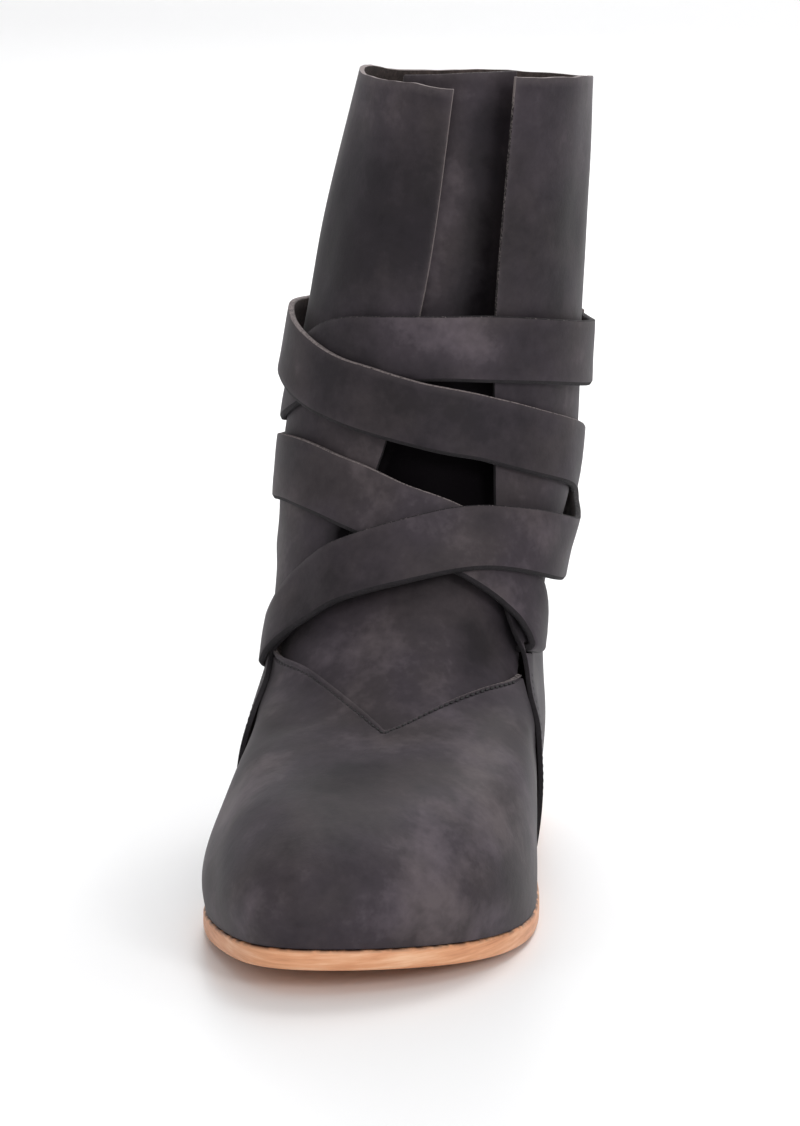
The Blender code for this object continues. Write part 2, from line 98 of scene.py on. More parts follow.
# The vamp's lifted rim, the seams' grooves and the quarters' uneven cut.
VAMP_RIM_LIFT = 0.95
RIM_LIFT_START = -0.3
RIM_LIFT_PACE = 28.0
SEAM_GROOVE = 0.7
GROOVE_WIDTH = 0.7
V_STITCH_MEDIAL = 2.6
V_STITCH_LATERAL = 1.3
V_STITCH_CHANGE = 0.25
BACK_TURN = 5.0
BACK_SEAM = 0.45
BACK_SEAM_WIDTH = 0.9
CORNER_CUT = 1.2
CORNER_COLUMNS = 9.0
CORNER_START = 0.9
CORNER_PACE = 10.0
UNEVEN_CUT = 0.35
UNEVEN_PACE = 4.0
UNEVEN_LINE = (0.3, 0.7)
RIM_WIDTH = 0.42
RIM_SEGMENTS = 2
RIM_ANGLE = 50.0

# Where folds and swells fade out: levels over the feather edge, and the pace toward the other edges.
VAMP_FADE_LEVELS = 1.2
VAMP_FADE_PACE = 9.0
QUARTERS_FADE_LEVELS = 1.5
QUARTERS_FADE_PACE = 14.0
TONGUE_FADE_START = 0.1
TONGUE_FADE_PACE = 7.0
LAP_FADE_PACE = 8.0

# Grid of each sheet, how far its lines crowd toward the edges, and the size and height of its swells.
Sheet = namedtuple("Sheet", "rows columns crowd_up crowd_across swell_size swell_height")
SHEETS = {
    "vamp": Sheet(130, 210, 0.3, 0.0, 26.0, 0.5),
    "quarters": Sheet(150, 230, 0.25, 0.7, 30.0, 0.55),
    "tongue": Sheet(150, 90, 0.0, 0.0, 24.0, 0.5),
}

# Seams: where each starts and ends, by turn or by level, and the pitch, length, radius and sunk depth of
# its short stitches.
Seam = namedtuple("Seam", "start end samples pitch length radius sink")
V_SEAM = Seam(-1.72, 1.66, 160, 2.3, 1.6, 0.50, 0.15)
SIDE_SEAM = Seam(0.5, 6.2, 120, 2.7, 1.7, 0.25, 0.12)
SIDE_SEAM_INSET = 3.0
SIDE_SEAM_PROBE = 0.1
BEAD_SEGMENTS = 8
BEAD_RINGS = 6

# The girth lines of the last, from the feather edge to the collar, with the same columns as in the source.
Ring = namedtuple("Ring", "front_d front_z back_d back_z tip_x shift follow "
                          "med_toe med_ball med_waist med_heel lat_toe lat_ball lat_waist lat_heel")
STATIONS = (0.10, 0.32, 0.60, 0.87)
RINGS = [
    Ring(1.5, 14.3, 265.0, 6.3, -8.0, 0.0, 1.00, 35.0, 49.2, 35.0, 30.5, 36.3, 49.6, 38.0, 29.3),
    Ring(-0.5, 25.0, 267.0, 19.0, -8.0, 0.0, 0.60, 36.5, 49.9, 38.0, 32.5, 37.2, 49.6, 39.5, 30.9),
    Ring(4.5, 36.5, 268.0, 34.0, -7.0, 0.0, 0.25, 32.5, 46.6, 40.8, 33.5, 33.3, 47.6, 40.4, 31.3),
    Ring(18.0, 45.0, 267.5, 47.0, -5.0, 0.0, 0.00, 27.0, 43.0, 43.0, 33.7, 28.0, 45.4, 39.2, 30.6),
    Ring(40.0, 50.5, 266.0, 57.0, -3.0, 0.0, 0.00, 25.0, 42.0, 44.4, 33.8, 25.4, 42.8, 38.4, 30.3),
    Ring(64.0, 54.0, 264.0, 66.0, -1.0, 0.0, 0.00, 25.0, 42.3, 45.2, 33.8, 25.2, 40.2, 36.8, 30.0),
    Ring(88.0, 58.5, 262.0, 75.0, 2.0, 0.0, 0.00, 25.5, 42.8, 45.4, 33.8, 25.2, 38.6, 35.4, 29.7),
    Ring(106.0, 66.0, 260.0, 84.0, 2.0, 0.0, 0.00, 26.5, 43.8, 45.3, 33.5, 25.2, 38.6, 35.6, 29.9),
    Ring(120.0, 77.0, 258.5, 94.0, 1.0, 0.0, 0.00, 27.5, 44.5, 45.2, 33.0, 26.0, 39.6, 37.0, 30.2),
    Ring(131.0, 91.0, 257.5, 105.0, 0.0, 0.0, 0.00, 28.5, 45.0, 45.3, 32.5, 27.2, 41.0, 39.6, 30.7),
    Ring(139.5, 108.0, 257.0, 119.0, 0.0, 0.0, 0.00, 29.3, 45.2, 45.3, 32.0, 28.6, 44.2, 43.2, 31.3),
    Ring(146.0, 131.0, 257.0, 138.0, 0.0, 0.5, 0.00, 29.0, 44.5, 44.5, 31.0, 29.0, 45.3, 45.2, 31.0),
    Ring(149.5, 162.0, 257.5, 165.0, 0.0, 3.5, 0.00, 27.7, 42.3, 42.5, 30.0, 28.0, 43.0, 43.0, 29.5),
    Ring(151.5, 202.0, 258.5, 203.0, 0.0, 8.5, 0.00, 26.0, 40.4, 40.8, 28.5, 26.0, 39.4, 39.4, 27.5),
    Ring(153.0, 246.5, 260.0, 243.0, 0.0, 13.5, 0.00, 23.0, 35.0, 35.4, 25.6, 24.0, 36.0, 36.0, 25.5),
]
TOP = float(len(RINGS) - 1)
SIDES = 10
LAST_RISE = RINGS[-1].front_z - RINGS[-2].front_z

Edge = namedtuple("Edge", "level medial lateral")
QUARTER_EDGES = [
    Edge(0.0, 2.45, -2.80),
    Edge(2.0, 2.33, -2.55),
    Edge(4.0, 2.08, -2.28),
    Edge(5.6, 1.88, -2.03),
    Edge(6.8, 1.72, -1.78),
    Edge(7.9, 1.25, -1.43),
    Edge(9.0, 0.87, -1.14),
    Edge(10.0, 0.54, -0.98),
    Edge(11.0, 0.27, -0.90),
    Edge(12.4, 0.04, -0.76),
    Edge(TOP, -0.02, -0.75),
]
VampTop = namedtuple("VampTop", "turn level")
VAMP_TOP = [
    VampTop(-3.00, 6.30),
    VampTop(-1.85, 6.22),
    VampTop(-1.19, 6.58),
    VampTop(-0.51, 6.45),
    VampTop(-0.14, 6.07),
    VampTop(-0.05, 5.97),
    VampTop(0.04, 6.10),
    VampTop(0.41, 6.60),
    VampTop(0.94, 7.05),
    VampTop(1.72, 6.84),
    VampTop(2.75, 6.80),
]
CollarRise = namedtuple("CollarRise", "turn rise")
COLLAR = [
    CollarRise(-0.1, 0.0),
    CollarRise(1.2, 1.0),
    CollarRise(2.6, 2.8),
    CollarRise(3.8, -1.2),
    CollarRise(5.0, -2.2),
    CollarRise(6.3, -2.4),
    CollarRise(7.5, 0.4),
    CollarRise(9.3, 2.4),
]
TongueRow = namedtuple("TongueRow", "level medial lateral sink slant")
TONGUE_ROWS = [
    TongueRow(5.0, 1.90, -1.90, 2.5, 0.0),
    TongueRow(7.0, 1.85, -1.90, 2.5, 0.0),
    TongueRow(8.5, 1.45, -1.65, 2.6, 0.5),
    TongueRow(10.0, 1.05, -1.40, 4.5, 2.5),
    TongueRow(11.0, 0.90, -1.30, 6.0, 4.0),
    TongueRow(12.4, 0.95, -1.20, 6.5, 4.5),
    TongueRow(TOP, 1.10, -1.05, 8.0, 2.5),
]
TONGUE_TUCK = 0.70
TONGUE_RISE = 0.07

# The middle line of each strap from its slit to its end, and its lift in layers over the leather.
Way = namedtuple("Way", "turn level layer")
STRAP_A = [
    Way(1.97, 6.80, 0.0),
    Way(1.57, 7.75, 0.0),
    Way(1.10, 8.62, 0.0),
    Way(0.55, 9.28, 1.0),
    Way(0.00, 9.68, 1.0),
    Way(-0.52, 9.88, 1.0),
    Way(-1.00, 9.82, 1.0),
    Way(-1.60, 9.52, 1.4),
    Way(-2.40, 9.06, 1.5),
    Way(-3.30, 8.92, 1.2),
    Way(-4.20, 9.30, 1.0),
    Way(-5.10, 9.95, 1.0),
    Way(-6.00, 10.65, 1.0),
    Way(-7.00, 11.20, 1.0),
    Way(-7.60, 11.38, 0.0),
    Way(-8.30, 11.66, 0.0),
    Way(-9.00, 11.97, 0.0),
    Way(-9.55, 12.06, 0.0),
    Way(-10.20, 12.09, 0.0),
    Way(-10.85, 12.06, 0.0),
    Way(-11.60, 11.97, 0.5),
    Way(-12.50, 11.83, 0.7),
    Way(-13.30, 11.76, 0.0),
    Way(-14.10, 11.74, 0.0),
    Way(-14.80, 11.74, 0.0),
]
STRAP_B = [
    Way(-2.07, 6.75, 0.2),
    Way(-1.93, 7.40, 0.2),
    Way(-1.70, 8.15, 0.1),
    Way(-1.34, 8.90, 0.0),
    Way(-0.90, 9.53, 0.0),
    Way(-0.41, 10.01, 0.0),
    Way(0.00, 10.25, 0.0),
    Way(0.39, 10.44, 0.0),
    Way(0.80, 10.57, 0.0),
    Way(1.45, 10.62, 0.0),
    Way(2.28, 10.40, 0.0),
    Way(3.20, 10.14, 0.0),
    Way(4.20, 10.08, 0.0),
    Way(5.20, 10.13, 0.0),
    Way(6.20, 10.24, 0.0),
    Way(7.10, 10.38, 0.0),
    Way(7.75, 10.70, 0.0),
    Way(8.60, 11.06, 0.0),
    Way(9.20, 11.29, 0.0),
    Way(9.60, 11.40, 0.3),
    Way(10.00, 11.50, 1.0),
    Way(10.50, 11.61, 1.0),
    Way(11.10, 11.72, 1.0),
    Way(12.00, 11.90, 1.5),
    Way(12.80, 11.90, 2.0),
    Way(13.70, 11.82, 1.5),
    Way(14.60, 11.76, 1.0),
    Way(15.50, 11.74, 1.0),
    Way(16.40, 11.74, 1.0),
]

# The straps: the side of the upper edge is 1 where that is the positive side of the way, and bare_above is
# that edge's bareness.
Strap = namedtuple("Strap", "node ways side bare_above")
STRAPS = [
    Strap("strap_a", STRAP_A, 1.0, 0.25),
    Strap("strap_b", STRAP_B, -1.0, 0.46),
]

# Folds of the sheets, each a soft trough or ridge along the line between two places.
Fold = namedtuple("Fold", "turn_a level_a turn_b level_b width height")
FOLDS = {
    "vamp": [
        Fold(-1.6, 5.3, 1.2, 5.2, 7.0, -0.7),
        Fold(-1.9, 4.6, 0.2, 4.3, 6.0, 0.6),
        Fold(0.5, 4.1, 2.2, 3.6, 7.0, -0.6),
        Fold(-2.3, 3.3, -1.2, 3.9, 6.0, -0.6),
        Fold(-0.2, 3.2, 1.0, 2.9, 9.0, 0.5),
        Fold(-0.9, 2.2, -0.3, 3.0, 9.0, -0.5),
        Fold(1.1, 1.0, 1.7, 2.6, 7.0, -0.6),
    ],
    "tongue": [
        Fold(-1.5, 7.6, -0.9, 7.1, 7.0, -1.1),
        Fold(-0.7, 7.7, 0.9, 7.5, 8.0, 0.8),
        Fold(0.2, 8.4, 1.2, 7.9, 5.0, -0.7),
        Fold(-0.5, 6.7, 0.5, 6.9, 7.0, -0.5),
    ],
    "quarters": [
        Fold(2.2, 6.0, 3.4, 4.6, 8.0, -0.9),
        Fold(2.6, 7.8, 4.0, 7.0, 8.0, -1.0),
        Fold(2.3, 8.9, 3.8, 8.8, 7.0, 0.8),
        Fold(-2.3, 6.0, -3.5, 4.8, 8.0, -0.9),
        Fold(-2.6, 7.7, -4.1, 7.1, 8.0, -0.9),
        Fold(4.2, 8.6, 5.8, 8.5, 8.0, -0.7),
        Fold(1.6, 12.6, 1.3, 13.6, 9.0, -0.8),
        Fold(3.0, 12.4, 3.4, 13.5, 10.0, 0.8),
        Fold(-2.0, 12.7, -2.2, 13.7, 9.0, -0.6),
        Fold(-4.0, 12.6, -3.6, 13.4, 10.0, 0.6),
    ],
}

# Bareness of each sheet's cut edges: its top, and its first and last side from a share of the height up.
BareRim = namedtuple("BareRim", "top first last start")
BARE_RIMS = {
    "vamp": BareRim(0.42, 0.0, 0.0, 0.5),
    "quarters": BareRim(0.72, 0.62, 0.34, 0.78),
    "tongue": BareRim(0.30, 0.1, 0.1, 0.5),
}
EDGE_HALO = 0.6
BARE_SIDE_FADE = 0.12
BARE_TOP_START = 0.985
BARE_TOP_FADE = 0.01
# Painted shade: the straps' lower edges get so little bareness that they stay near black, as edges that
# face down into shade.
SHADED_BARE_BELOW = 0.08

# Light and dark clouds in the leather's colour: most are clouds of the dye, and those marked below are
# painted light and painted shade.
Cloud = namedtuple("Cloud", "turn level radius tone")
CLOUDS = {
    "vamp": [
        Cloud(-1.30, 2.7, 15.0, 0.44),
        Cloud(0.00, 4.0, 19.0, -0.20),
        Cloud(-1.45, 1.2, 9.0, -0.25),
        Cloud(-0.80, 1.1, 15.0, 0.36),
        Cloud(-1.50, 4.0, 13.0, 0.20),
        Cloud(0.50, 4.6, 16.0, -0.22),
        Cloud(0.12, 1.2, 18.0, 0.20),
        Cloud(1.45, 3.2, 20.0, 0.28),
        Cloud(1.90, 1.8, 14.0, 0.25),
        Cloud(-0.35, 4.2, 12.0, -0.08),
        Cloud(0.05, 5.4, 10.0, 0.18),
    ],
    "tongue": [
        Cloud(-1.05, 7.8, 10.0, -0.60),
        Cloud(0.50, 8.1, 14.0, 0.30),
        Cloud(0.10, 13.1, 18.0, 0.22),
        # Painted shade: the next three clouds darken the tongue where it lies in shade, under strap B, deep
        # in the throat between the flaps and beside the lateral flap.
        Cloud(-1.65, 8.0, 9.0, -1.30),
        Cloud(-0.35, 10.9, 24.0, -2.60),
        Cloud(-0.75, 11.3, 8.0, -1.20),
    ],
    "quarters": [
        Cloud(0.75, 13.0, 28.0, -0.54),
        Cloud(1.90, 12.6, 20.0, -0.22),
        Cloud(2.30, 13.6, 10.0, 0.20),
        Cloud(-1.40, 13.0, 26.0, -0.46),
        # Painted shade on the quarter beside strap B.
        Cloud(-1.45, 8.0, 6.0, -1.20),
        Cloud(2.60, 8.0, 18.0, -0.10),
        # Painted shade in the gap between the two straps on the medial flap.
        Cloud(0.60, 9.9, 5.0, -1.60),
    ],
    # Painted light and painted shade on the straps: lighter where a band faces the key light, darker where
    # the next loop shades it.
    "straps": [
        Cloud(-0.30, 12.2, 16.0, 0.38),
        Cloud(0.95, 12.1, 14.0, -0.34),
        Cloud(0.60, 11.7, 13.0, -0.26),
        Cloud(-0.20, 11.4, 19.0, -0.48),
        Cloud(-1.40, 11.0, 13.0, -0.25),
        Cloud(-0.20, 10.0, 14.0, 0.22),
        Cloud(-1.30, 9.9, 12.0, 0.18),
        Cloud(1.30, 8.1, 10.0, -0.15),
    ],
}
# Painted shadow: the dark strip that the lateral flap casts on the tongue beside it.
FLAP_SHADOW_LEVELS = (12.2, 12.5, 12.8, 13.1, 13.4, 13.7)
CLOUDS["tongue"] += [Cloud(-0.70, level, 7.8, -3.60) for level in FLAP_SHADOW_LEVELS]

# Materials of the leather, in the order of the slots.
NAP, CUT, FLESH = range(3)

# Cross-section of a strap: place across as a share of the half width, positive upward, height as a share
# of the thickness, and the material of the face that follows.
Corner = namedtuple("Corner", "across height finish")
STRAP_SECTION = [
    Corner(-0.94, 0.00, FLESH),
    Corner(-0.60, 0.00, FLESH),
    Corner(-0.20, 0.00, FLESH),
    Corner(0.20, 0.00, FLESH),
    Corner(0.60, 0.00, FLESH),
    Corner(0.96, 0.00, CUT),
    Corner(1.00, 0.15, CUT),
    Corner(1.00, 0.88, CUT),
    Corner(0.97, 1.00, NAP),
    Corner(0.75, 1.02, NAP),
    Corner(0.40, 1.03, NAP),
    Corner(0.00, 1.03, NAP),
    Corner(-0.40, 1.03, NAP),
    Corner(-0.70, 1.02, NAP),
    Corner(-0.895, 1.00, CUT),
    Corner(-1.00, 0.66, CUT),
    Corner(-1.00, 0.15, CUT),
]

# Side of the sole from its middle line under the foot to the middle above: inset from the margin, height
# as a share of the thickness, and the share of the painted shade line in the crease where the upper meets
# the sole.
SolePoint = namedtuple("SolePoint", "inset height ink")
SOLE_SIDE = [
    SolePoint(12.0, 0.0, 0.0),
    SolePoint(2.5, 0.0, 0.0),
    SolePoint(0.9, 0.0, 0.0),
    SolePoint(0.35, 0.06, 0.0),
    SolePoint(0.08, 0.2, 0.0),
    SolePoint(0.0, 0.5, 0.0),
    SolePoint(0.05, 0.84, 0.0),
    SolePoint(0.3, 0.96, 0.55),
    SolePoint(0.8, 1.0, 1.0),
    SolePoint(3.0, 1.0, 1.0),
]

# Colours of the materials along their tone, from dark to light; the darkest stop of the dye's ramps is the
# near black of the painted shade. The ramps from black to white are shares: of brown in the dye, of worn
# leather on a cut edge, and of the painted shade line on the sole. The gloss ramp is the dye's gloss along
# its tone, dimmed where the tone is dark so that the painted shade loses its sheen too.
Stop = namedtuple("Stop", "place colour")
BLACK = (0.0, 0.0, 0.0)
WHITE = (1.0, 1.0, 1.0)
PLUM_RAMP = [
    Stop(0.10, (0.0024, 0.0016, 0.0024)),
    Stop(0.40, (0.0125, 0.0092, 0.0125)),
    Stop(0.56, (0.0180, 0.0137, 0.0180)),
    Stop(0.775, (0.0430, 0.0338, 0.0416)),
    Stop(0.975, (0.1050, 0.0850, 0.0990)),
]
BROWN_RAMP = [
    Stop(0.10, (0.0024, 0.0016, 0.0024)),
    Stop(0.40, (0.0130, 0.0098, 0.0118)),
    Stop(0.56, (0.0190, 0.0147, 0.0172)),
    Stop(0.775, (0.0460, 0.0364, 0.0400)),
    Stop(0.975, (0.1080, 0.0875, 0.0930)),
]
TINT_RAMP = [Stop(0.40, BLACK), Stop(0.62, WHITE)]
GLOSS_RAMP = [Stop(0.10, (0.03, 0.03, 0.03)), Stop(0.45, (0.24, 0.24, 0.24))]
# The cut edges are near black: partly their own dark colour, partly painted shade on the edges that face
# down or lie in gaps.
CUT_RAMP = [Stop(0.32, (0.004, 0.003, 0.004)), Stop(0.66, (0.018, 0.0140, 0.0175))]
WORN_RAMP = [Stop(0.80, BLACK), Stop(1.0, WHITE)]
FLESH_RAMP = [Stop(0.32, (0.016, 0.0115, 0.0110)), Stop(0.66, (0.090, 0.0650, 0.0590))]
SOLE_RAMP = [
    Stop(0.32, (0.56, 0.225, 0.100)),
    Stop(0.50, (0.76, 0.360, 0.185)),
    Stop(0.68, (0.90, 0.540, 0.330)),
]
CREASE_SHADE_RAMP = [Stop(0.34, BLACK), Stop(0.56, WHITE)]
THREAD_RAMP = [Stop(0.3, (0.008, 0.007, 0.008)), Stop(0.7, (0.03, 0.027, 0.03))]
NUBUCK_RUBBED = (0.135, 0.114, 0.117, 1.0)
CUT_WORN = (0.22, 0.185, 0.182, 1.0)
SOLE_CREASE_SHADE = (0.055, 0.022, 0.013, 1.0)

# Noises of the materials, in waves per metre, and the weight of each in its material's tone.
Grain = namedtuple("Grain", "scale detail roughness weight", defaults=(3.0, 0.55, 1.0))
DYE_BROAD = Grain(24.0, weight=1.3)
DYE_PATCHES = Grain(75.0, 4.0, 0.6, 0.72)
DYE_MOTTLE = Grain(165.0, weight=0.36)
DYE_FINE = Grain(420.0, weight=0.26)
TONE_SPAN = 0.5
TONE_START = 0.10
TINT_GRAIN = Grain(32.0, 2.0)
RUB_GRAIN = Grain(500.0)
NAP_GRAIN = Grain(2600.0, 2.0)
PORE_GRAIN = Grain(900.0, 3.0, 0.6)
TUFT_DETAIL = 4.0
TUFT_ROUGHNESS = 0.7
TUFT_WEIGHT = 0.6
TUFT_PATCH_WEIGHT = 0.4
TUFT_PATCH_RATIO = 9.0
SOLE_LAYERS = Grain(60.0, 4.0, 0.6, 0.6)
SOLE_STRETCH = (1.0, 1.0, 14.0)
SOLE_MOTTLE = Grain(45.0, weight=0.4)
SOLE_FINE = Grain(900.0)
CREASE_SHADE_GRAIN = Grain(260.0)
TWIST_GRAIN = Grain(1800.0)
ROUGHNESS_START = 0.55
ROUGHNESS_SPAN = 0.20
SHEEN = 0.08
SHEEN_ROUGHNESS = 0.45

# Depth of the bumps, in metres, and how strongly they shade.
Relief = namedtuple("Relief", "strength distance")
DENT_RELIEF = Relief(0.2, 0.001)
PORE_RELIEF = Relief(0.22, 0.0002)
NAP_RELIEF = Relief(0.22, 0.00010)
TUFT_RELIEF = Relief(0.6, 0.0004)
LAYER_RELIEF = Relief(0.35, 0.0004)
SOLE_RELIEF = Relief(0.25, 0.00015)
TWIST_RELIEF = Relief(0.5, 0.0002)

# Fibres of the bare leather; worn is the colour that shows where the dye is worn off.
Fibre = namedtuple("Fibre", "name ramp scale roughness worn")
CUT_FIBRE = Fibre("cut_edge", CUT_RAMP, 1400.0, 0.9, CUT_WORN)
FLESH_FIBRE = Fibre("flesh_side", FLESH_RAMP, 700.0, 0.95, None)

# Values of the shaders' own inputs.
SOLE_SHADER = {
    "Roughness": 0.5,
    "Subsurface Weight": 0.06,
    "Subsurface Radius": (0.003, 0.0015, 0.0008),
    "Coat Weight": 0.12,
    "Coat Roughness": 0.4,
}
THREAD_ROUGHNESS = 0.6
FLOOR_SHADER = {"Base Color": (0.88, 0.88, 0.885, 1.0), "Roughness": 0.35, "Specular IOR Level": 0.5}

# Studio, in metres and watts.
FLOOR_HALF = 8.0
FLOOR_FRONT = -6.0
WALL_START = 2.8
WALL_CURVE = 1.4
WALL_FIRST_ANGLE = 0.15
WALL_STEPS = 10
WALL_TOP = 5.0
SURROUND = 0.38
Light = namedtuple("Light", "name place aim size power")
BOOT = (0.0, -0.1, 0.1)
LIGHTS = [
    Light("top_light", (0.25, -0.35, 1.9), BOOT, 1.6, 5.5),
    Light("key_light", (1.55, -1.70, 1.15), BOOT, 0.7, 15.0),
    Light("front_light", (0.3, -2.2, 1.15), BOOT, 1.2, 7.0),
    Light("side_light", (-1.5, -1.55, 1.0), BOOT, 1.0, 3.5),
    Light("back_light", (0.1, 1.0, 1.5), BOOT, 1.0, 22.0),
    Light("high_light", (0.0, 0.9, 2.6), BOOT, 2.4, 13.5),
    Light("wall_light", (0.0, 2.0, 2.4), (0.0, 4.2, 0.5), 3.0, 56.0),
]

# The camera stands where the photograph's stood and looks at the one boot.
CAMERA_PLACE = (0.22767, -1.51719, 0.39308)
CAMERA_AIM = BOOT
CAMERA_LENS = 212.7
CAMERA_SENSOR = 36.0


def clamp(value, low=0.0, high=1.0):
    return np.minimum(np.maximum(value, low), high)


def ease(t):
    """Smooth step from 0 to 1."""
    t = clamp(t)
    return t * t * (3.0 - 2.0 * t)


def read_table(rows, t):
    """Columns of a table, whose first column is the place, read at the places t on smooth curves."""
    table = np.array([tuple(row) for row in rows], dtype=float)
    place, values = table[:, 0], table[:, 1:]
    slope = np.gradient(values, place, axis=0)
    t = clamp(np.asarray(t, dtype=float), place[0], place[-1])
    i = np.minimum(np.searchsorted(place, t, side="right") - 1, len(place) - 2)
    span = (place[i + 1] - place[i])[..., None]
    q = ((t - place[i]) / span[..., 0])[..., None]
    read = ((1 + 2 * q) * (1 - q) ** 2 * values[i] + q * (1 - q) ** 2 * span * slope[i]
            + q * q * (3 - 2 * q) * values[i + 1] + q * q * (q - 1) * span * slope[i + 1])
    return np.moveaxis(read, -1, 0)


def sole_bottom(d):
    """Height of the sole's underside: toe spring in front, two flat seats and a slight arch between."""
    spring = TOE_SPRING * np.maximum(0.0, 1.0 - d / SPRING_LENGTH) ** SPRING_CURVE
    across = clamp((d - WAIST_FRONT) / (WAIST_BACK - WAIST_FRONT))
    return spring + WAIST_LIFT * np.sin(math.pi * across) ** 2


def sole_top(d):
    return sole_bottom(d) + SOLE_THICKNESS


def ring_points(ring):
    """The ten points of a girth line: front, four medial, back, four lateral."""
    medial = (ring.med_toe, ring.med_ball, ring.med_waist, ring.med_heel)
    lateral = (ring.lat_toe, ring.lat_ball, ring.lat_waist, ring.lat_heel)
    sides = [(ring.tip_x, 0.0)]
    sides += [(-width, share) for width, share in zip(medial, STATIONS)]
    sides += [(0.0, 1.0)]
    sides += [(width, share) for width, share in reversed(list(zip(lateral, STATIONS)))]
    base = RINGS[0]
    points = []
    for x, share in sides:
        d = ring.front_d + share * (ring.back_d - ring.front_d)
        level = ring.front_z + share * (ring.back_z - ring.front_z)
        base_level = base.front_z + share * (base.back_z - base.front_z)
        z = level + ring.follow * (sole_top(d) + GAP - base_level)
        points.append((x + ring.shift, d - TIP_TO_HEEL_CENTRE, z))
    return points


def open_bends(values):
    """Second derivatives of the natural cubic spline through evenly spaced rows."""
    count = len(values)
    matrix = np.eye(count)
    right = np.zeros_like(values)
    for i in range(1, count - 1):
        matrix[i, i - 1:i + 2] = (1.0, 4.0, 1.0)
        right[i] = 6.0 * (values[i - 1] - 2.0 * values[i] + values[i + 1])
    return np.linalg.solve(matrix, right.reshape(count, -1)).reshape(values.shape)


def closed_solver(count):
    """Matrix from second differences to second derivatives of a closed, evenly spaced cubic spline."""
    one = np.eye(count)
    return 6.0 * np.linalg.inv(4.0 * one + np.roll(one, 1, 0) + np.roll(one, -1, 0))


def blend(first, second, first_bend, second_bend, q):
    """Value of a cubic spline between two of its points, which are one step apart."""
    p = 1.0 - q
    return p * first + q * second + ((p ** 3 - p) * first_bend + (q ** 3 - q) * second_bend) / 6.0


NET = np.array([ring_points(ring) for ring in RINGS])
NET_BENDS = open_bends(NET)
CLOSED = closed_solver(SIDES)


def surface(turn, level):
    """Points of the upper's outer form, in millimetres."""
    turn, level = np.broadcast_arrays(np.asarray(turn, dtype=float), np.asarray(level, dtype=float))
    shape = turn.shape
    turn, level = turn.ravel(), level.ravel()
    i = np.clip(np.floor(level).astype(int), 0, len(RINGS) - 2)
    net = blend(NET[i], NET[i + 1], NET_BENDS[i], NET_BENDS[i + 1], (level - i)[:, None, None])
    bends = CLOSED @ (np.roll(net, 1, 1) - 2.0 * net + np.roll(net, -1, 1))
    place = turn % SIDES
    j = np.floor(place).astype(int) % SIDES
    k = (j + 1) % SIDES
    n = np.arange(len(turn))
    points = blend(net[n, j], net[n, k], bends[n, j], bends[n, k], (place - np.floor(place))[:, None])
    return points.reshape(shape + (3,))


def unit(vectors):
    return vectors / np.linalg.norm(vectors, axis=-1, keepdims=True)


def slopes(turn, level):
    step = 0.02
    along = (surface(turn + step, level) - surface(turn - step, level)) / (2.0 * step)
    up = (surface(turn, level + step) - surface(turn, level - step)) / (2.0 * step)
    return along, up


def normal(turn, level):
    """Outward directions, turned level along the feather edge."""
    along, up = slopes(turn, level)
    outward = unit(np.cross(up, along))
    outward[..., 2] *= ease(level)
    return unit(outward)


def lifted(turn, level, height):
    return surface(turn, level) + np.asarray(height)[..., None] * normal(turn, level)


def signed_turn(turn):
    """The same place with its turn between -5 and 5."""
    return (turn + SIDES / 2) % SIDES - SIDES / 2


def lap_height(turn, level):
    """Height of the quarter's step over the vamp: full at its front edge, fading back and upward."""
    medial, lateral = read_table(QUARTER_EDGES, level)
    edge = np.where(turn > 0, medial, lateral)
    reach = np.linalg.norm(surface(turn, level) - surface(edge, level), axis=-1)
    above = ease((level - LAP_LEVEL) / LAP_LEVELS_ABOVE)
    return LAP_STEP * (1.0 - ease(reach / LAP_FADE)) * (1.0 - above)


def near_line(points, start, end):
    """Distance from the points to a straight line between two others."""
    span = end - start
    share = clamp((points - start) @ span / (span @ span))
    return np.linalg.norm(points - start - share[..., None] * span, axis=-1)


def hill(x):
    """Smooth hill, 1 high at 0."""
    return np.exp(-x ** 2)


def fold_height(piece, points):
    height = np.zeros(points.shape[:-1])
    for fold in FOLDS[piece]:
        start, end = surface(fold.turn_a, fold.level_a), surface(fold.turn_b, fold.level_b)
        height += fold.height * hill(near_line(points, start, end) / fold.width)
    return height


def cloud_tone(piece, points):
    tone = np.zeros(points.shape[:-1])
    for cloud in CLOUDS[piece]:
        distance = np.linalg.norm(points - surface(cloud.turn, cloud.level), axis=-1)
        tone += cloud.tone * hill(distance / cloud.radius)
    return tone


def waviness(points, size, height):
    """Soft unevenness of the leather, with swells of about the given size."""
    values = [noise.noise(Vector(point / size)) for point in points.reshape(-1, 3)]
    return height * np.array(values).reshape(points.shape[:-1])


def soft_height(piece, points):
    """Height of a sheet's folds and swells."""
    sheet = SHEETS[piece]
    return fold_height(piece, points) + waviness(points, sheet.swell_size, sheet.swell_height)


def spread(count, crowd):
    """Places from 0 to 1 that lie closer together at both ends."""
    t = np.linspace(0.0, 1.0, count + 1)
    return t - crowd * np.sin(2.0 * math.pi * t) / (2.0 * math.pi)


def sheet_grid(piece):
    """Shares up and across a sheet for each point of its grid."""
    sheet = SHEETS[piece]
    up, across = spread(sheet.rows, sheet.crowd_up), spread(sheet.columns, sheet.crowd_across)
    return np.meshgrid(up, across, indexing="ij")


def add_object(name, data):
    item = bpy.data.objects.new(name, data)
    bpy.context.scene.collection.objects.link(item)
    return item


def new_mesh(name, points, faces):
    """Mesh object in metres."""
    mesh = bpy.data.meshes.new(name)
    mesh.from_pydata((points.reshape(-1, 3) * MM).tolist(), [], faces)
    return add_object(name, mesh)


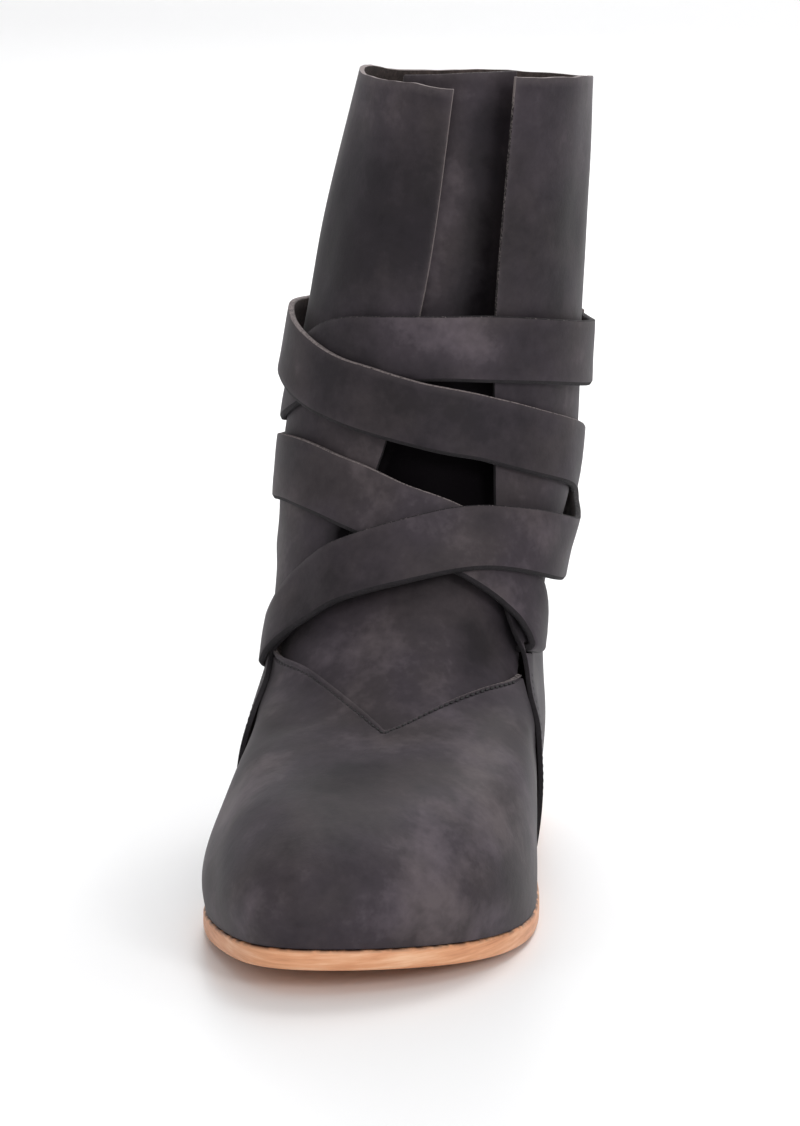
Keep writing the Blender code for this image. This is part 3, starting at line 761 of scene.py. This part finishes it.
def paint(item, materials):
    for material in materials:
        item.data.materials.append(material)


def store(item, name, values):
    """One number for each point, which the material reads."""
    layer = item.data.attributes.new(name, "FLOAT", "POINT")
    layer.data.foreach_set("value", np.asarray(values, dtype=np.float32).ravel())


def turn_outward(item):
    shell = bmesh.new()
    shell.from_mesh(item.data)
    bmesh.ops.recalc_face_normals(shell, faces=shell.faces)
    shell.to_mesh(item.data)
    shell.free()


def grid_faces(columns, rows):
    """Quads of a grid whose columns follow the turn and whose rows rise, facing outward."""
    wide = columns + 1
    faces = []
    for j in range(rows):
        for i in range(columns):
            low = j * wide + i
            faces.append([low, low + wide, low + wide + 1, low + 1])
    return faces


def edge_distance(points):
    """Way along the grid lines to the sheet's nearest cut edge, the feather edge left out."""
    up = np.linalg.norm(np.diff(points, axis=0), axis=-1)
    along = np.linalg.norm(np.diff(points, axis=1), axis=-1)
    to_top = np.pad(np.cumsum(up[::-1], axis=0)[::-1], ((0, 1), (0, 0)))
    to_first = np.pad(np.cumsum(along, axis=1), ((0, 0), (1, 0)))
    to_last = np.pad(np.cumsum(along[:, ::-1], axis=1)[:, ::-1], ((0, 0), (0, 1)))
    return np.minimum(to_top, np.minimum(to_first, to_last))


def bareness(name, across, rise):
    """How far the dye is worn off a cut edge, from its places across and up the sheet."""
    row = BARE_RIMS[name]
    side = np.where(across < 0.5, row.first, row.last) * ease((rise - row.start) / BARE_SIDE_FADE)
    near_top = ease((rise - BARE_TOP_START) / BARE_TOP_FADE)
    return side * (1.0 - near_top) + near_top * row.top


def add_wall(item):
    """Give a sheet its thickness inward, with a cut edge and a flesh side."""
    solid = item.modifiers.new("wall", "SOLIDIFY")
    solid.thickness = LEATHER * MM
    solid.offset = -1.0
    solid.use_even_offset = True
    solid.material_offset_rim = CUT
    solid.material_offset = FLESH


def round_rim(item):
    """Round off the corners of a sheet's cut edges."""
    rim = item.modifiers.new("rim", "BEVEL")
    rim.width = RIM_WIDTH * MM
    rim.segments = RIM_SEGMENTS
    rim.limit_method = "ANGLE"
    rim.angle_limit = math.radians(RIM_ANGLE)


def leather_sheet(name, points, across, rise, materials):
    """Sheet of leather made from the grid of its outer face, with soft cut edges."""
    rows, columns = points.shape[0] - 1, points.shape[1] - 1
    item = new_mesh(name, points, grid_faces(columns, rows))
    bare = bareness(name, across, rise)
    store(item, "bare", bare)
    store(item, "edge", bare * np.exp(-edge_distance(points) / EDGE_HALO))
    store(item, "cloud", cloud_tone(name, points))
    paint(item, materials)
    item.data.shade_smooth()
    add_wall(item)
    round_rim(item)
    return item


def apply_modifiers(item):
    shape = item.evaluated_get(bpy.context.evaluated_depsgraph_get())
    mesh = bpy.data.meshes.new_from_object(shape)
    item.modifiers.clear()
    item.data = mesh


def ready(item, node, replaced=True):
    """Give a finished piece, which lies mostly in the place of its CAD node, to the body, and hide that
    node when the piece replaces it.
    """
    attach(item, "root")
    if replaced:
        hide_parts(node)


def v_drop(turn, top, distance):
    """The distance down from the V edge, counted in levels."""
    step = 0.5
    return step * distance / np.linalg.norm(surface(turn, top) - surface(turn, top - step), axis=-1)


def v_stitch_level(turn):
    """Level of the stitches along the V edge, which lie close to it on the lateral half."""
    top = read_table(VAMP_TOP, turn)[0]
    medial = ease(turn / V_STITCH_CHANGE + 0.5)
    return top - v_drop(turn, top, V_STITCH_LATERAL + (V_STITCH_MEDIAL - V_STITCH_LATERAL) * medial)


def build_vamp(materials):
    up, across = sheet_grid("vamp")
    medial, lateral = read_table(QUARTER_EDGES, up * VAMP_LEVELS)
    turn = lateral - VAMP_MARGIN + across * (medial - lateral + 2.0 * VAMP_MARGIN)
    level = up * read_table(VAMP_TOP, turn)[0]
    height = soft_height("vamp", surface(turn, level))
    height = height * ease(level / VAMP_FADE_LEVELS) * ease((1.0 - up) * VAMP_FADE_PACE)
    height += VAMP_RIM_LIFT * hill((1.0 - up) * RIM_LIFT_PACE) * ease(turn - RIM_LIFT_START)
    height -= SEAM_GROOVE * hill((level - v_stitch_level(turn)) / v_drop(turn, level, GROOVE_WIDTH))
    return leather_sheet("vamp", lifted(turn, level, height), across, up, materials)


def quarters_level(across, up, turn):
    """Level of the quarters' grid, up to a collar that rises, dips and is cut a little unevenly."""
    rise = read_table(COLLAR, turn)[0] / LAST_RISE
    uneven = [noise.noise(Vector((UNEVEN_PACE * t, *UNEVEN_LINE))) for t in turn[-1]]
    level = up * (TOP + (rise + UNEVEN_CUT * np.array(uneven) / LAST_RISE))
    corner = hill(across * SHEETS["quarters"].columns / CORNER_COLUMNS)
    return level - CORNER_CUT / LAST_RISE * corner * ease((up - CORNER_START) * CORNER_PACE)


def build_quarters(materials):
    up, across = sheet_grid("quarters")
    medial, lateral = read_table(QUARTER_EDGES, up * TOP)
    turn = medial + across * (SIDES + lateral - medial)
    level = quarters_level(across, up, turn)
    base = surface(turn, level)
    height = soft_height("quarters", base) * ease(level / QUARTERS_FADE_LEVELS)
    height *= ease(np.minimum(across, 1.0 - across) * QUARTERS_FADE_PACE)
    height += lap_height(signed_turn(turn), level)
    off_seam = np.linalg.norm(base - surface(BACK_TURN, level), axis=-1)
    height -= BACK_SEAM * hill(off_seam / BACK_SEAM_WIDTH)
    height = height * ease(level * LAP_FADE_PACE)
    return leather_sheet("quarters", lifted(turn, level, height), across, up, materials)


def build_tongue(materials):
    up, across = sheet_grid("tongue")
    level = TONGUE_ROWS[0].level + up * (TOP - TONGUE_ROWS[0].level)
    for _ in range(SETTLE_ROUNDS):
        medial, lateral, sink, slant = read_table(TONGUE_ROWS, level)
        turn = lateral + across * (medial - lateral)
        start = read_table(VAMP_TOP, turn)[0] - TONGUE_TUCK
        level = start + up * (TOP + TONGUE_RISE - start)
    height = soft_height("tongue", surface(turn, level)) * ease((up - TONGUE_FADE_START) * TONGUE_FADE_PACE)
    height -= sink + slant * (1.0 - across) ** 2
    return leather_sheet("tongue", lifted(turn, level, height), across, up, materials)


def sample_way(ways, t):
    """Turn, level and layer at the places t along a strap's ways."""
    table = np.array([tuple(way) for way in ways], dtype=float)
    t = np.asarray(t, dtype=float)
    i = np.minimum(t.astype(int), len(ways) - 2)
    bends = open_bends(table[:, :2])
    place = blend(table[i, :2], table[i + 1, :2], bends[i], bends[i + 1], (t - i)[..., None])
    layer = table[i, 2] + (table[i + 1, 2] - table[i, 2]) * ease(t - i)
    return place[..., 0], place[..., 1], layer


def line_run(points):
    """Way along a line of points from its start to each of them."""
    return np.concatenate([[0.0], np.cumsum(np.linalg.norm(np.diff(points, axis=0), axis=1))])


def even_places(ways, spacing):
    """Places along the ways that lie evenly apart on the leather."""
    fine = np.linspace(0.0, len(ways) - 1.0, WAY_SAMPLES * len(ways))
    run = line_run(surface(*sample_way(ways, fine)[:2]))
    return np.interp(np.linspace(0.0, run[-1], int(run[-1] / spacing) + 1), run, fine)


def square_on(along, outward):
    """The part of a direction that lies along the leather."""
    return unit(along - outward * np.sum(along * outward, axis=-1, keepdims=True))


def strap_frame(ways, t):
    """Turn, level and layer there, and the directions along and across the strap."""
    turn, level, layer = sample_way(ways, t)
    behind = surface(*sample_way(ways, np.maximum(t - WAY_STEP, 0.0))[:2])
    ahead = surface(*sample_way(ways, np.minimum(t + WAY_STEP, len(ways) - 1.0))[:2])
    outward = normal(turn, level)
    along = square_on(ahead - behind, outward)
    return turn, level, layer, along, np.cross(outward, along)


def beside(turn, level, offset):
    """Places on the leather nearest to points that lie beside the given places."""
    target = surface(turn, level) + offset
    turn, level = turn + np.zeros(offset.shape[:-1]), level + np.zeros(offset.shape[:-1])
    for _ in range(SETTLE_ROUNDS):
        step_turn, step_level = slopes(turn, level)
        miss = target - surface(turn, level)
        tt = np.sum(step_turn * step_turn, axis=-1)
        ll = np.sum(step_level * step_level, axis=-1)
        tl = np.sum(step_turn * step_level, axis=-1)
        mt = np.sum(step_turn * miss, axis=-1)
        ml = np.sum(step_level * miss, axis=-1)
        size = tt * ll - tl * tl
        turn = turn + (mt * ll - ml * tl) / size
        level = level + (ml * tt - mt * tl) / size
    return turn, level


def strap_lift(turn, level, layer):
    """Height of a strap's inner face over the upper's outer form."""
    return lap_height(signed_turn(turn), level) + STRAP_GAP + layer * (STRAP_THICKNESS + GAP)


def tube_sides(sections, around):
    """Quads between closed loops of points, section after section."""
    faces = []
    for k in range(sections - 1):
        for i in range(around):
            j = (i + 1) % around
            faces.append([k * around + i, k * around + j, (k + 1) * around + j, (k + 1) * around + i])
    return faces


def tube_ends(sections, around):
    last = (sections - 1) * around
    return [list(range(around - 1, -1, -1)), list(range(last, last + around))]


def strap_root(ways, across_share, height_share):
    """Sections of the root: out through the slit and round its lip."""
    turn, level, layer, along, across = strap_frame(ways, np.array(0.0))
    offset = across_share[:, None] * across * STRAP_WIDTH / 2
    turn, level = beside(turn, level, offset)
    foot, outward = surface(turn, level), normal(turn, level)
    along = square_on(along, outward)
    middle = (strap_lift(turn, level, layer) + STRAP_THICKNESS / 2)[:, None]
    side = ((height_share - 0.5) * STRAP_THICKNESS)[:, None]
    centre = foot + along * BEND_RADIUS + outward * (middle - BEND_RADIUS)
    sections = [foot - outward * QUARTER_WALL * ROOT_SINK - along * side]
    for angle in np.radians(ROOT_ANGLES):
        turned = outward * math.cos(angle) - along * math.sin(angle)
        sections.append(centre + (BEND_RADIUS + side) * turned)
    return np.array(sections)


def strap_body(ways, across_share, height_share):
    """Sections of the strap from its root to its end, drifting a little from its way."""
    places = even_places(ways, STRAP_SPACING)[ROOT_PLACES:]
    turn, level, layer, _, across = strap_frame(ways, places)
    drift = np.array([noise.noise(Vector((t * DRIFT_PACE, *DRIFT_LINE))) for t in places])
    share = across_share[None, :] * (1.0 + STRAP_DRIFT * drift[:, None])
    offset = share[..., None] * across[:, None, :] * STRAP_WIDTH / 2
    turn, level = beside(turn[:, None], level[:, None], offset)
    base = surface(turn, level)
    height = strap_lift(turn, level, layer[:, None]) + height_share * STRAP_THICKNESS
    height = height + np.abs(waviness(base, STRAP_SWELL_SIZE, STRAP_SWELL_HEIGHT))
    return base + height[..., None] * normal(turn, level)


def build_strap(strap, materials):
    rise = np.array([corner.across for corner in STRAP_SECTION])
    height = np.array([corner.height for corner in STRAP_SECTION])
    across = strap.side * rise
    root, body = strap_root(strap.ways, across, height), strap_body(strap.ways, across, height)
    points = np.concatenate([root, body])
    sections, around = points.shape[:2]
    faces = tube_sides(sections, around) + tube_ends(sections, around)
    item = new_mesh(strap.node + "_leather", points, faces)
    finishes = [corner.finish for corner in STRAP_SECTION] * (sections - 1) + [CUT, CUT]
    item.data.polygons.foreach_set("material_index", finishes)
    bare = np.where(rise < 0.0, SHADED_BARE_BELOW, strap.bare_above)
    rim = bare * np.exp(-(1.0 - np.abs(across)) * STRAP_WIDTH / 2 / EDGE_HALO)
    # The strap's tone: a random swell of the dye, plus the listed painted light and shade.
    cloud = waviness(points, STRAP_CLOUD_SIZE, STRAP_CLOUD_TONE) + cloud_tone("straps", points)
    store(item, "bare", np.tile(bare, sections))
    store(item, "edge", np.tile(rim, sections))
    store(item, "cloud", cloud)
    paint(item, materials)
    turn_outward(item)
    item.data.shade_smooth()
    return item


def slit_cutter(strap):
    """Curved block through the quarter's wall where the strap's root passes."""
    turn, level, _, along, across = strap_frame(strap.ways, np.array(0.0))
    high = STRAP_THICKNESS / 2 + SLIT_PLAY
    shares = np.linspace(-1.0, 1.0, SLIT_SECTIONS)
    turns, levels = beside(turn, level, shares[:, None] * across * (STRAP_WIDTH / 2 + SLIT_PLAY))
    foot, outward = surface(turns, levels), normal(turns, levels)
    corners = ((-high, -1), (high, -1), (high, 1), (-high, 1))
    points = np.stack([foot + i * along + k * SLIT_DEPTH * outward for i, k in corners], axis=1)
    faces = tube_sides(SLIT_SECTIONS, len(corners)) + tube_ends(SLIT_SECTIONS, len(corners))
    item = new_mesh("slit_" + strap.node, points, faces)
    turn_outward(item)
    return item


def cut_slits(item, cut_edge):
    """Open both slits in the quarters."""
    cutters = [slit_cutter(strap) for strap in STRAPS]
    for cutter in cutters:
        paint(cutter, [cut_edge])
        cut = item.modifiers.new(cutter.name, "BOOLEAN")
        cut.operation = "DIFFERENCE"
        cut.object = cutter
        cut.solver = "EXACT"
        cut.material_mode = "TRANSFER"
    apply_modifiers(item)
    for cutter in cutters:
        bpy.data.objects.remove(cutter, do_unlink=True)


def outline(margin):
    """Closed outline of the feather edge, moved outward by the margin."""
    turn = np.linspace(0.0, SIDES, OUTLINE_COUNT, endpoint=False)
    points = surface(turn, 0.0)[:, :2]
    along = np.roll(points, -1, 0) - np.roll(points, 1, 0)
    return points + margin * unit(np.stack([-along[:, 1], along[:, 0]], axis=1))


def insole_bottom(d):
    return sole_top(d) + GAP


def close_loop(start, count):
    """Quads that close a loop of points, across from one half to the other."""
    return [[start + i, start + i + 1, start + count - 2 - i, start + count - 1 - i]
            for i in range(count // 2 - 1)]


def flat_layer(name, margin, bottom, thickness, material):
    """Layer under the upper, with a closed outline and a shaped side."""
    rings = []
    for point in SOLE_SIDE:
        xy = outline(margin - point.inset)
        z = bottom(xy[:, 1] + TIP_TO_HEEL_CENTRE) + point.height * thickness
        rings.append(np.column_stack([xy, z]))
    faces = tube_sides(len(rings), OUTLINE_COUNT)
    for ring in (0, len(rings) - 1):
        faces += close_loop(ring * OUTLINE_COUNT, OUTLINE_COUNT)
    item = new_mesh(name, np.concatenate(rings), faces)
    store(item, "ink", np.repeat([point.ink for point in SOLE_SIDE], OUTLINE_COUNT))
    paint(item, [material])
    turn_outward(item)
    item.data.shade_smooth()
    return item


def on_line(place, run, rows):
    """Point or direction at a place along a line."""
    return Vector([np.interp(place, run, rows[:, axis]) for axis in range(3)])


def add_stitch(shell, start, end, up, seam):
    """Long bead between the two ends."""
    along = (end - start).normalized()
    across = up.cross(along)
    bead = bmesh.ops.create_uvsphere(shell, u_segments=BEAD_SEGMENTS, v_segments=BEAD_RINGS, radius=1.0)
    for vert in bead["verts"]:
        x, y, z = vert.co
        spot = (start + end) / 2 + along * z * seam.length / 2
        vert.co = (spot + across * x * seam.radius + up * y * seam.radius) * MM


def stitch_row(name, points, outward, seam, thread):
    """Row of short stitches sunk into the leather along a line."""
    run = line_run(points)
    shell = bmesh.new()
    for place in np.arange(seam.pitch / 2, run[-1], seam.pitch):
        start = on_line(place - seam.length / 2, run, points)
        end = on_line(place + seam.length / 2, run, points)
        add_stitch(shell, start, end, on_line(place, run, outward).normalized(), seam)
    item = add_object(name, bpy.data.meshes.new(name))
    shell.to_mesh(item.data)
    shell.free()
    paint(item, [thread])
    item.data.shade_smooth()
    return item


def feed(tree, target, value):
    """Link a socket to an input, or give the input a value."""
    if isinstance(value, bpy.types.NodeSocket):
        tree.links.new(value, target)
    else:
        target.default_value = value


def fill(tree, node, values):
    for name, value in values.items():
        feed(tree, node.inputs[name], value)


def noise_node(tree, coords, grain):
    node = tree.nodes.new("ShaderNodeTexNoise")
    fill(tree, node, {"Vector": coords, "Scale": grain.scale, "Detail": grain.detail,
                      "Roughness": grain.roughness})
    return node.outputs["Fac"]


def math_node(tree, operation, first, second):
    node = tree.nodes.new("ShaderNodeMath")
    node.operation = operation
    feed(tree, node.inputs[0], first)
    feed(tree, node.inputs[1], second)
    return node.outputs[0]


def weighted_sum(tree, parts):
    """Sum of sockets, each times its weight."""
    terms = [math_node(tree, "MULTIPLY", socket, weight) for socket, weight in parts]
    total = terms[0]
    for term in terms[1:]:
        total = math_node(tree, "ADD", total, term)
    return total


def ramp_node(tree, source, stops):
    node = tree.nodes.new("ShaderNodeValToRGB")
    elements = node.color_ramp.elements
    while len(elements) < len(stops):
        elements.new(0.5)
    for element, (place, colour) in zip(elements, stops):
        element.position = place
        element.color = (*colour, 1.0)
    feed(tree, node.inputs["Fac"], source)
    return node.outputs["Color"]


def mix_node(tree, share, first, second):
    node = tree.nodes.new("ShaderNodeMix")
    node.data_type = "RGBA"
    fill(tree, node, {"Factor": share, "A": first, "B": second})
    return node.outputs["Result"]


def bump_node(tree, height, relief, base=None):
    node = tree.nodes.new("ShaderNodeBump")
    fill(tree, node, {"Height": height, "Strength": relief.strength, "Distance": relief.distance})
    if base is not None:
        feed(tree, node.inputs["Normal"], base)
    return node.outputs["Normal"]


def attribute_node(tree, name):
    node = tree.nodes.new("ShaderNodeAttribute")
    node.attribute_name = name
    return node.outputs["Fac"]


def new_material(name):
    material = bpy.data.materials.new(name)
    material.use_nodes = True
    tree = material.node_tree
    coords = tree.nodes.new("ShaderNodeTexCoord").outputs["Object"]
    return material, tree, tree.nodes["Principled BSDF"], coords


def dye_and_shade_tone(tree, coords, patches):
    """Tone of the dye and of the painted light and shade: noises from broad clouds to fine specks, and the
    listed clouds.
    """
    broad, mottle, fine = [(noise_node(tree, coords, grain), grain.weight)
                           for grain in (DYE_BROAD, DYE_MOTTLE, DYE_FINE)]
    tone = weighted_sum(tree, [broad, (patches, DYE_PATCHES.weight), mottle, fine])
    tone = math_node(tree, "ADD", tone, attribute_node(tree, "cloud"))
    return math_node(tree, "ADD", math_node(tree, "MULTIPLY", tone, TONE_SPAN), TONE_START)


def nubuck():
    """Oiled nubuck: clouded charcoal dye with painted light and shade in its clouds, a fine nap and paler,
    rubbed edges.
    """
    material, tree, shader, coords = new_material("charcoal_nubuck")
    patches = noise_node(tree, coords, DYE_PATCHES)
    tone = dye_and_shade_tone(tree, coords, patches)
    tint = ramp_node(tree, noise_node(tree, coords, TINT_GRAIN), TINT_RAMP)
    colour = mix_node(tree, tint, ramp_node(tree, tone, PLUM_RAMP), ramp_node(tree, tone, BROWN_RAMP))
    rubbed = math_node(tree, "MULTIPLY", attribute_node(tree, "edge"), noise_node(tree, coords, RUB_GRAIN))
    rough = math_node(tree, "MULTIPLY", patches, ROUGHNESS_SPAN)
    dents = bump_node(tree, patches, DENT_RELIEF)
    pores = bump_node(tree, noise_node(tree, coords, PORE_GRAIN), PORE_RELIEF, dents)
    fill(tree, shader, {
        "Base Color": mix_node(tree, rubbed, colour, NUBUCK_RUBBED),
        "Roughness": math_node(tree, "ADD", rough, ROUGHNESS_START),
        "Specular IOR Level": ramp_node(tree, tone, GLOSS_RAMP),
        "Normal": bump_node(tree, noise_node(tree, coords, NAP_GRAIN), NAP_RELIEF, pores),
        "Sheen Weight": SHEEN,
        "Sheen Roughness": SHEEN_ROUGHNESS,
    })
    return material


def fibre(look):
    """Fibres of a cut edge or of a flesh side; where the dye is worn off, the worn colour shows."""
    material, tree, shader, coords = new_material(look.name)
    tufts = noise_node(tree, coords, Grain(look.scale, TUFT_DETAIL, TUFT_ROUGHNESS))
    patches = noise_node(tree, coords, Grain(look.scale / TUFT_PATCH_RATIO))
    tone = weighted_sum(tree, [(tufts, TUFT_WEIGHT), (patches, TUFT_PATCH_WEIGHT)])
    colour = ramp_node(tree, tone, look.ramp)
    if look.worn:
        bare = math_node(tree, "ADD", tufts, attribute_node(tree, "bare"))
        colour = mix_node(tree, ramp_node(tree, bare, WORN_RAMP), colour, look.worn)
    bump = bump_node(tree, tufts, TUFT_RELIEF)
    fill(tree, shader, {"Base Color": colour, "Normal": bump, "Roughness": look.roughness})
    return material


def sole_leather():
    """Natural tanned sole: layered fibres along its cut edge, smooth and faintly mottled below."""
    material, tree, shader, coords = new_material("natural_sole")
    stretch = tree.nodes.new("ShaderNodeMapping")
    fill(tree, stretch, {"Vector": coords, "Scale": SOLE_STRETCH})
    layers = noise_node(tree, stretch.outputs["Vector"], SOLE_LAYERS)
    mottle = noise_node(tree, coords, SOLE_MOTTLE)
    tone = weighted_sum(tree, [(layers, SOLE_LAYERS.weight), (mottle, SOLE_MOTTLE.weight)])
    # Painted shade: a dark, uneven line on the sole's top edge, in the crease where the upper meets it.
    uneven = ramp_node(tree, noise_node(tree, coords, CREASE_SHADE_GRAIN), CREASE_SHADE_RAMP)
    ink = math_node(tree, "MULTIPLY", attribute_node(tree, "ink"), uneven)
    colour = mix_node(tree, ink, ramp_node(tree, tone, SOLE_RAMP), SOLE_CREASE_SHADE)
    ridges = bump_node(tree, layers, LAYER_RELIEF)
    fine = bump_node(tree, noise_node(tree, coords, SOLE_FINE), SOLE_RELIEF, ridges)
    fill(tree, shader, {"Base Color": colour, "Normal": fine, **SOLE_SHADER})
    return material


def thread_material():
    material, tree, shader, coords = new_material("dark_thread")
    twist = noise_node(tree, coords, TWIST_GRAIN)
    colour, bump = ramp_node(tree, twist, THREAD_RAMP), bump_node(tree, twist, TWIST_RELIEF)
    fill(tree, shader, {"Base Color": colour, "Normal": bump, "Roughness": THREAD_ROUGHNESS})
    return material


def v_seam(thread):
    """Stitches along the vamp's V edge, on its toe side."""
    turn = np.linspace(V_SEAM.start, V_SEAM.end, V_SEAM.samples)
    level = v_stitch_level(turn)
    line = lifted(turn, level, np.full_like(turn, -V_SEAM.sink))
    return stitch_row("v_stitches", line, normal(turn, level), V_SEAM, thread)


def side_seam(name, sign, thread):
    """Stitches behind the front edge of a quarter; sign is 1 for the medial side and -1 for the other."""
    level = np.linspace(SIDE_SEAM.start, SIDE_SEAM.end, SIDE_SEAM.samples)
    medial, lateral = read_table(QUARTER_EDGES, level)
    edge = medial if sign > 0 else lateral
    probe = surface(edge + sign * SIDE_SEAM_PROBE, level) - surface(edge, level)
    turn = edge + sign * SIDE_SEAM_PROBE * SIDE_SEAM_INSET / np.linalg.norm(probe, axis=-1)
    height = lap_height(turn, level) * ease(level * LAP_FADE_PACE) - SIDE_SEAM.sink
    return stitch_row(name, lifted(turn, level, height), normal(turn, level), SIDE_SEAM, thread)


def backdrop():
    """Pale floor that curves up far behind the boot."""
    profile = [(FLOOR_FRONT, 0.0), (WALL_START, 0.0)]
    for angle in np.linspace(WALL_FIRST_ANGLE, math.pi / 2, WALL_STEPS):
        y = WALL_START + WALL_CURVE * math.sin(angle)
        z = WALL_CURVE * (1.0 - math.cos(angle))
        profile.append((y, z))
    profile.append((WALL_START + WALL_CURVE, WALL_TOP))
    points = np.array([(x, y, z) for y, z in profile for x in (-FLOOR_HALF, FLOOR_HALF)])
    faces = [[2 * k, 2 * k + 1, 2 * k + 3, 2 * k + 2] for k in range(len(profile) - 1)]
    floor = new_mesh("floor", points / MM, faces)
    floor.data.shade_smooth()
    material, tree, shader, _ = new_material("floor")
    fill(tree, shader, FLOOR_SHADER)
    paint(floor, [material])


def stand(item, place, aim):
    """Stand a lamp or the camera at its place, looking at its aim."""
    item.location = place
    item.rotation_euler = (Vector(aim) - Vector(place)).to_track_quat("-Z", "Y").to_euler()


def studio():
    """Soft lights and an even surround."""
    world = bpy.data.worlds.new("studio")
    world.use_nodes = True
    surround = world.node_tree.nodes["Background"]
    surround.inputs["Color"].default_value = (*WHITE, 1.0)
    surround.inputs["Strength"].default_value = SURROUND
    bpy.context.scene.world = world
    bpy.context.scene.view_settings.view_transform = "Standard"
    for light in LIGHTS:
        lamp = bpy.data.lights.new(light.name, "AREA")
        lamp.size = light.size
        lamp.energy = light.power
        stand(add_object(light.name, lamp), light.place, light.aim)


def camera():
    data = bpy.data.cameras.new("camera")
    data.lens = CAMERA_LENS
    data.sensor_width = CAMERA_SENSOR
    data.sensor_fit = "HORIZONTAL"
    item = add_object("camera", data)
    stand(item, CAMERA_PLACE, CAMERA_AIM)
    bpy.context.scene.camera = item


def main():
    cut_edge = fibre(CUT_FIBRE)
    flesh = fibre(FLESH_FIBRE)
    thread = thread_material()
    leather = (nubuck(), cut_edge, flesh)
    ready(build_vamp(leather), "upper")
    quarters = build_quarters(leather)
    cut_slits(quarters, cut_edge)
    ready(quarters, "upper")
    ready(build_tongue(leather), "tongue")
    for strap in STRAPS:
        ready(build_strap(strap, leather), strap.node)
    outsole = flat_layer("outsole_leather", SOLE_MARGIN, sole_bottom, SOLE_THICKNESS, sole_leather())
    ready(outsole, "outsole")
    insole = flat_layer("insole_leather", -QUARTER_WALL - GAP, insole_bottom, INSOLE_THICKNESS, flesh)
    ready(insole, "insole")
    ready(v_seam(thread), "upper", replaced=False)
    ready(side_seam("medial_stitches", 1.0, thread), "upper", replaced=False)
    ready(side_seam("lateral_stitches", -1.0, thread), "upper", replaced=False)
    backdrop()
    studio()
    camera()


main()
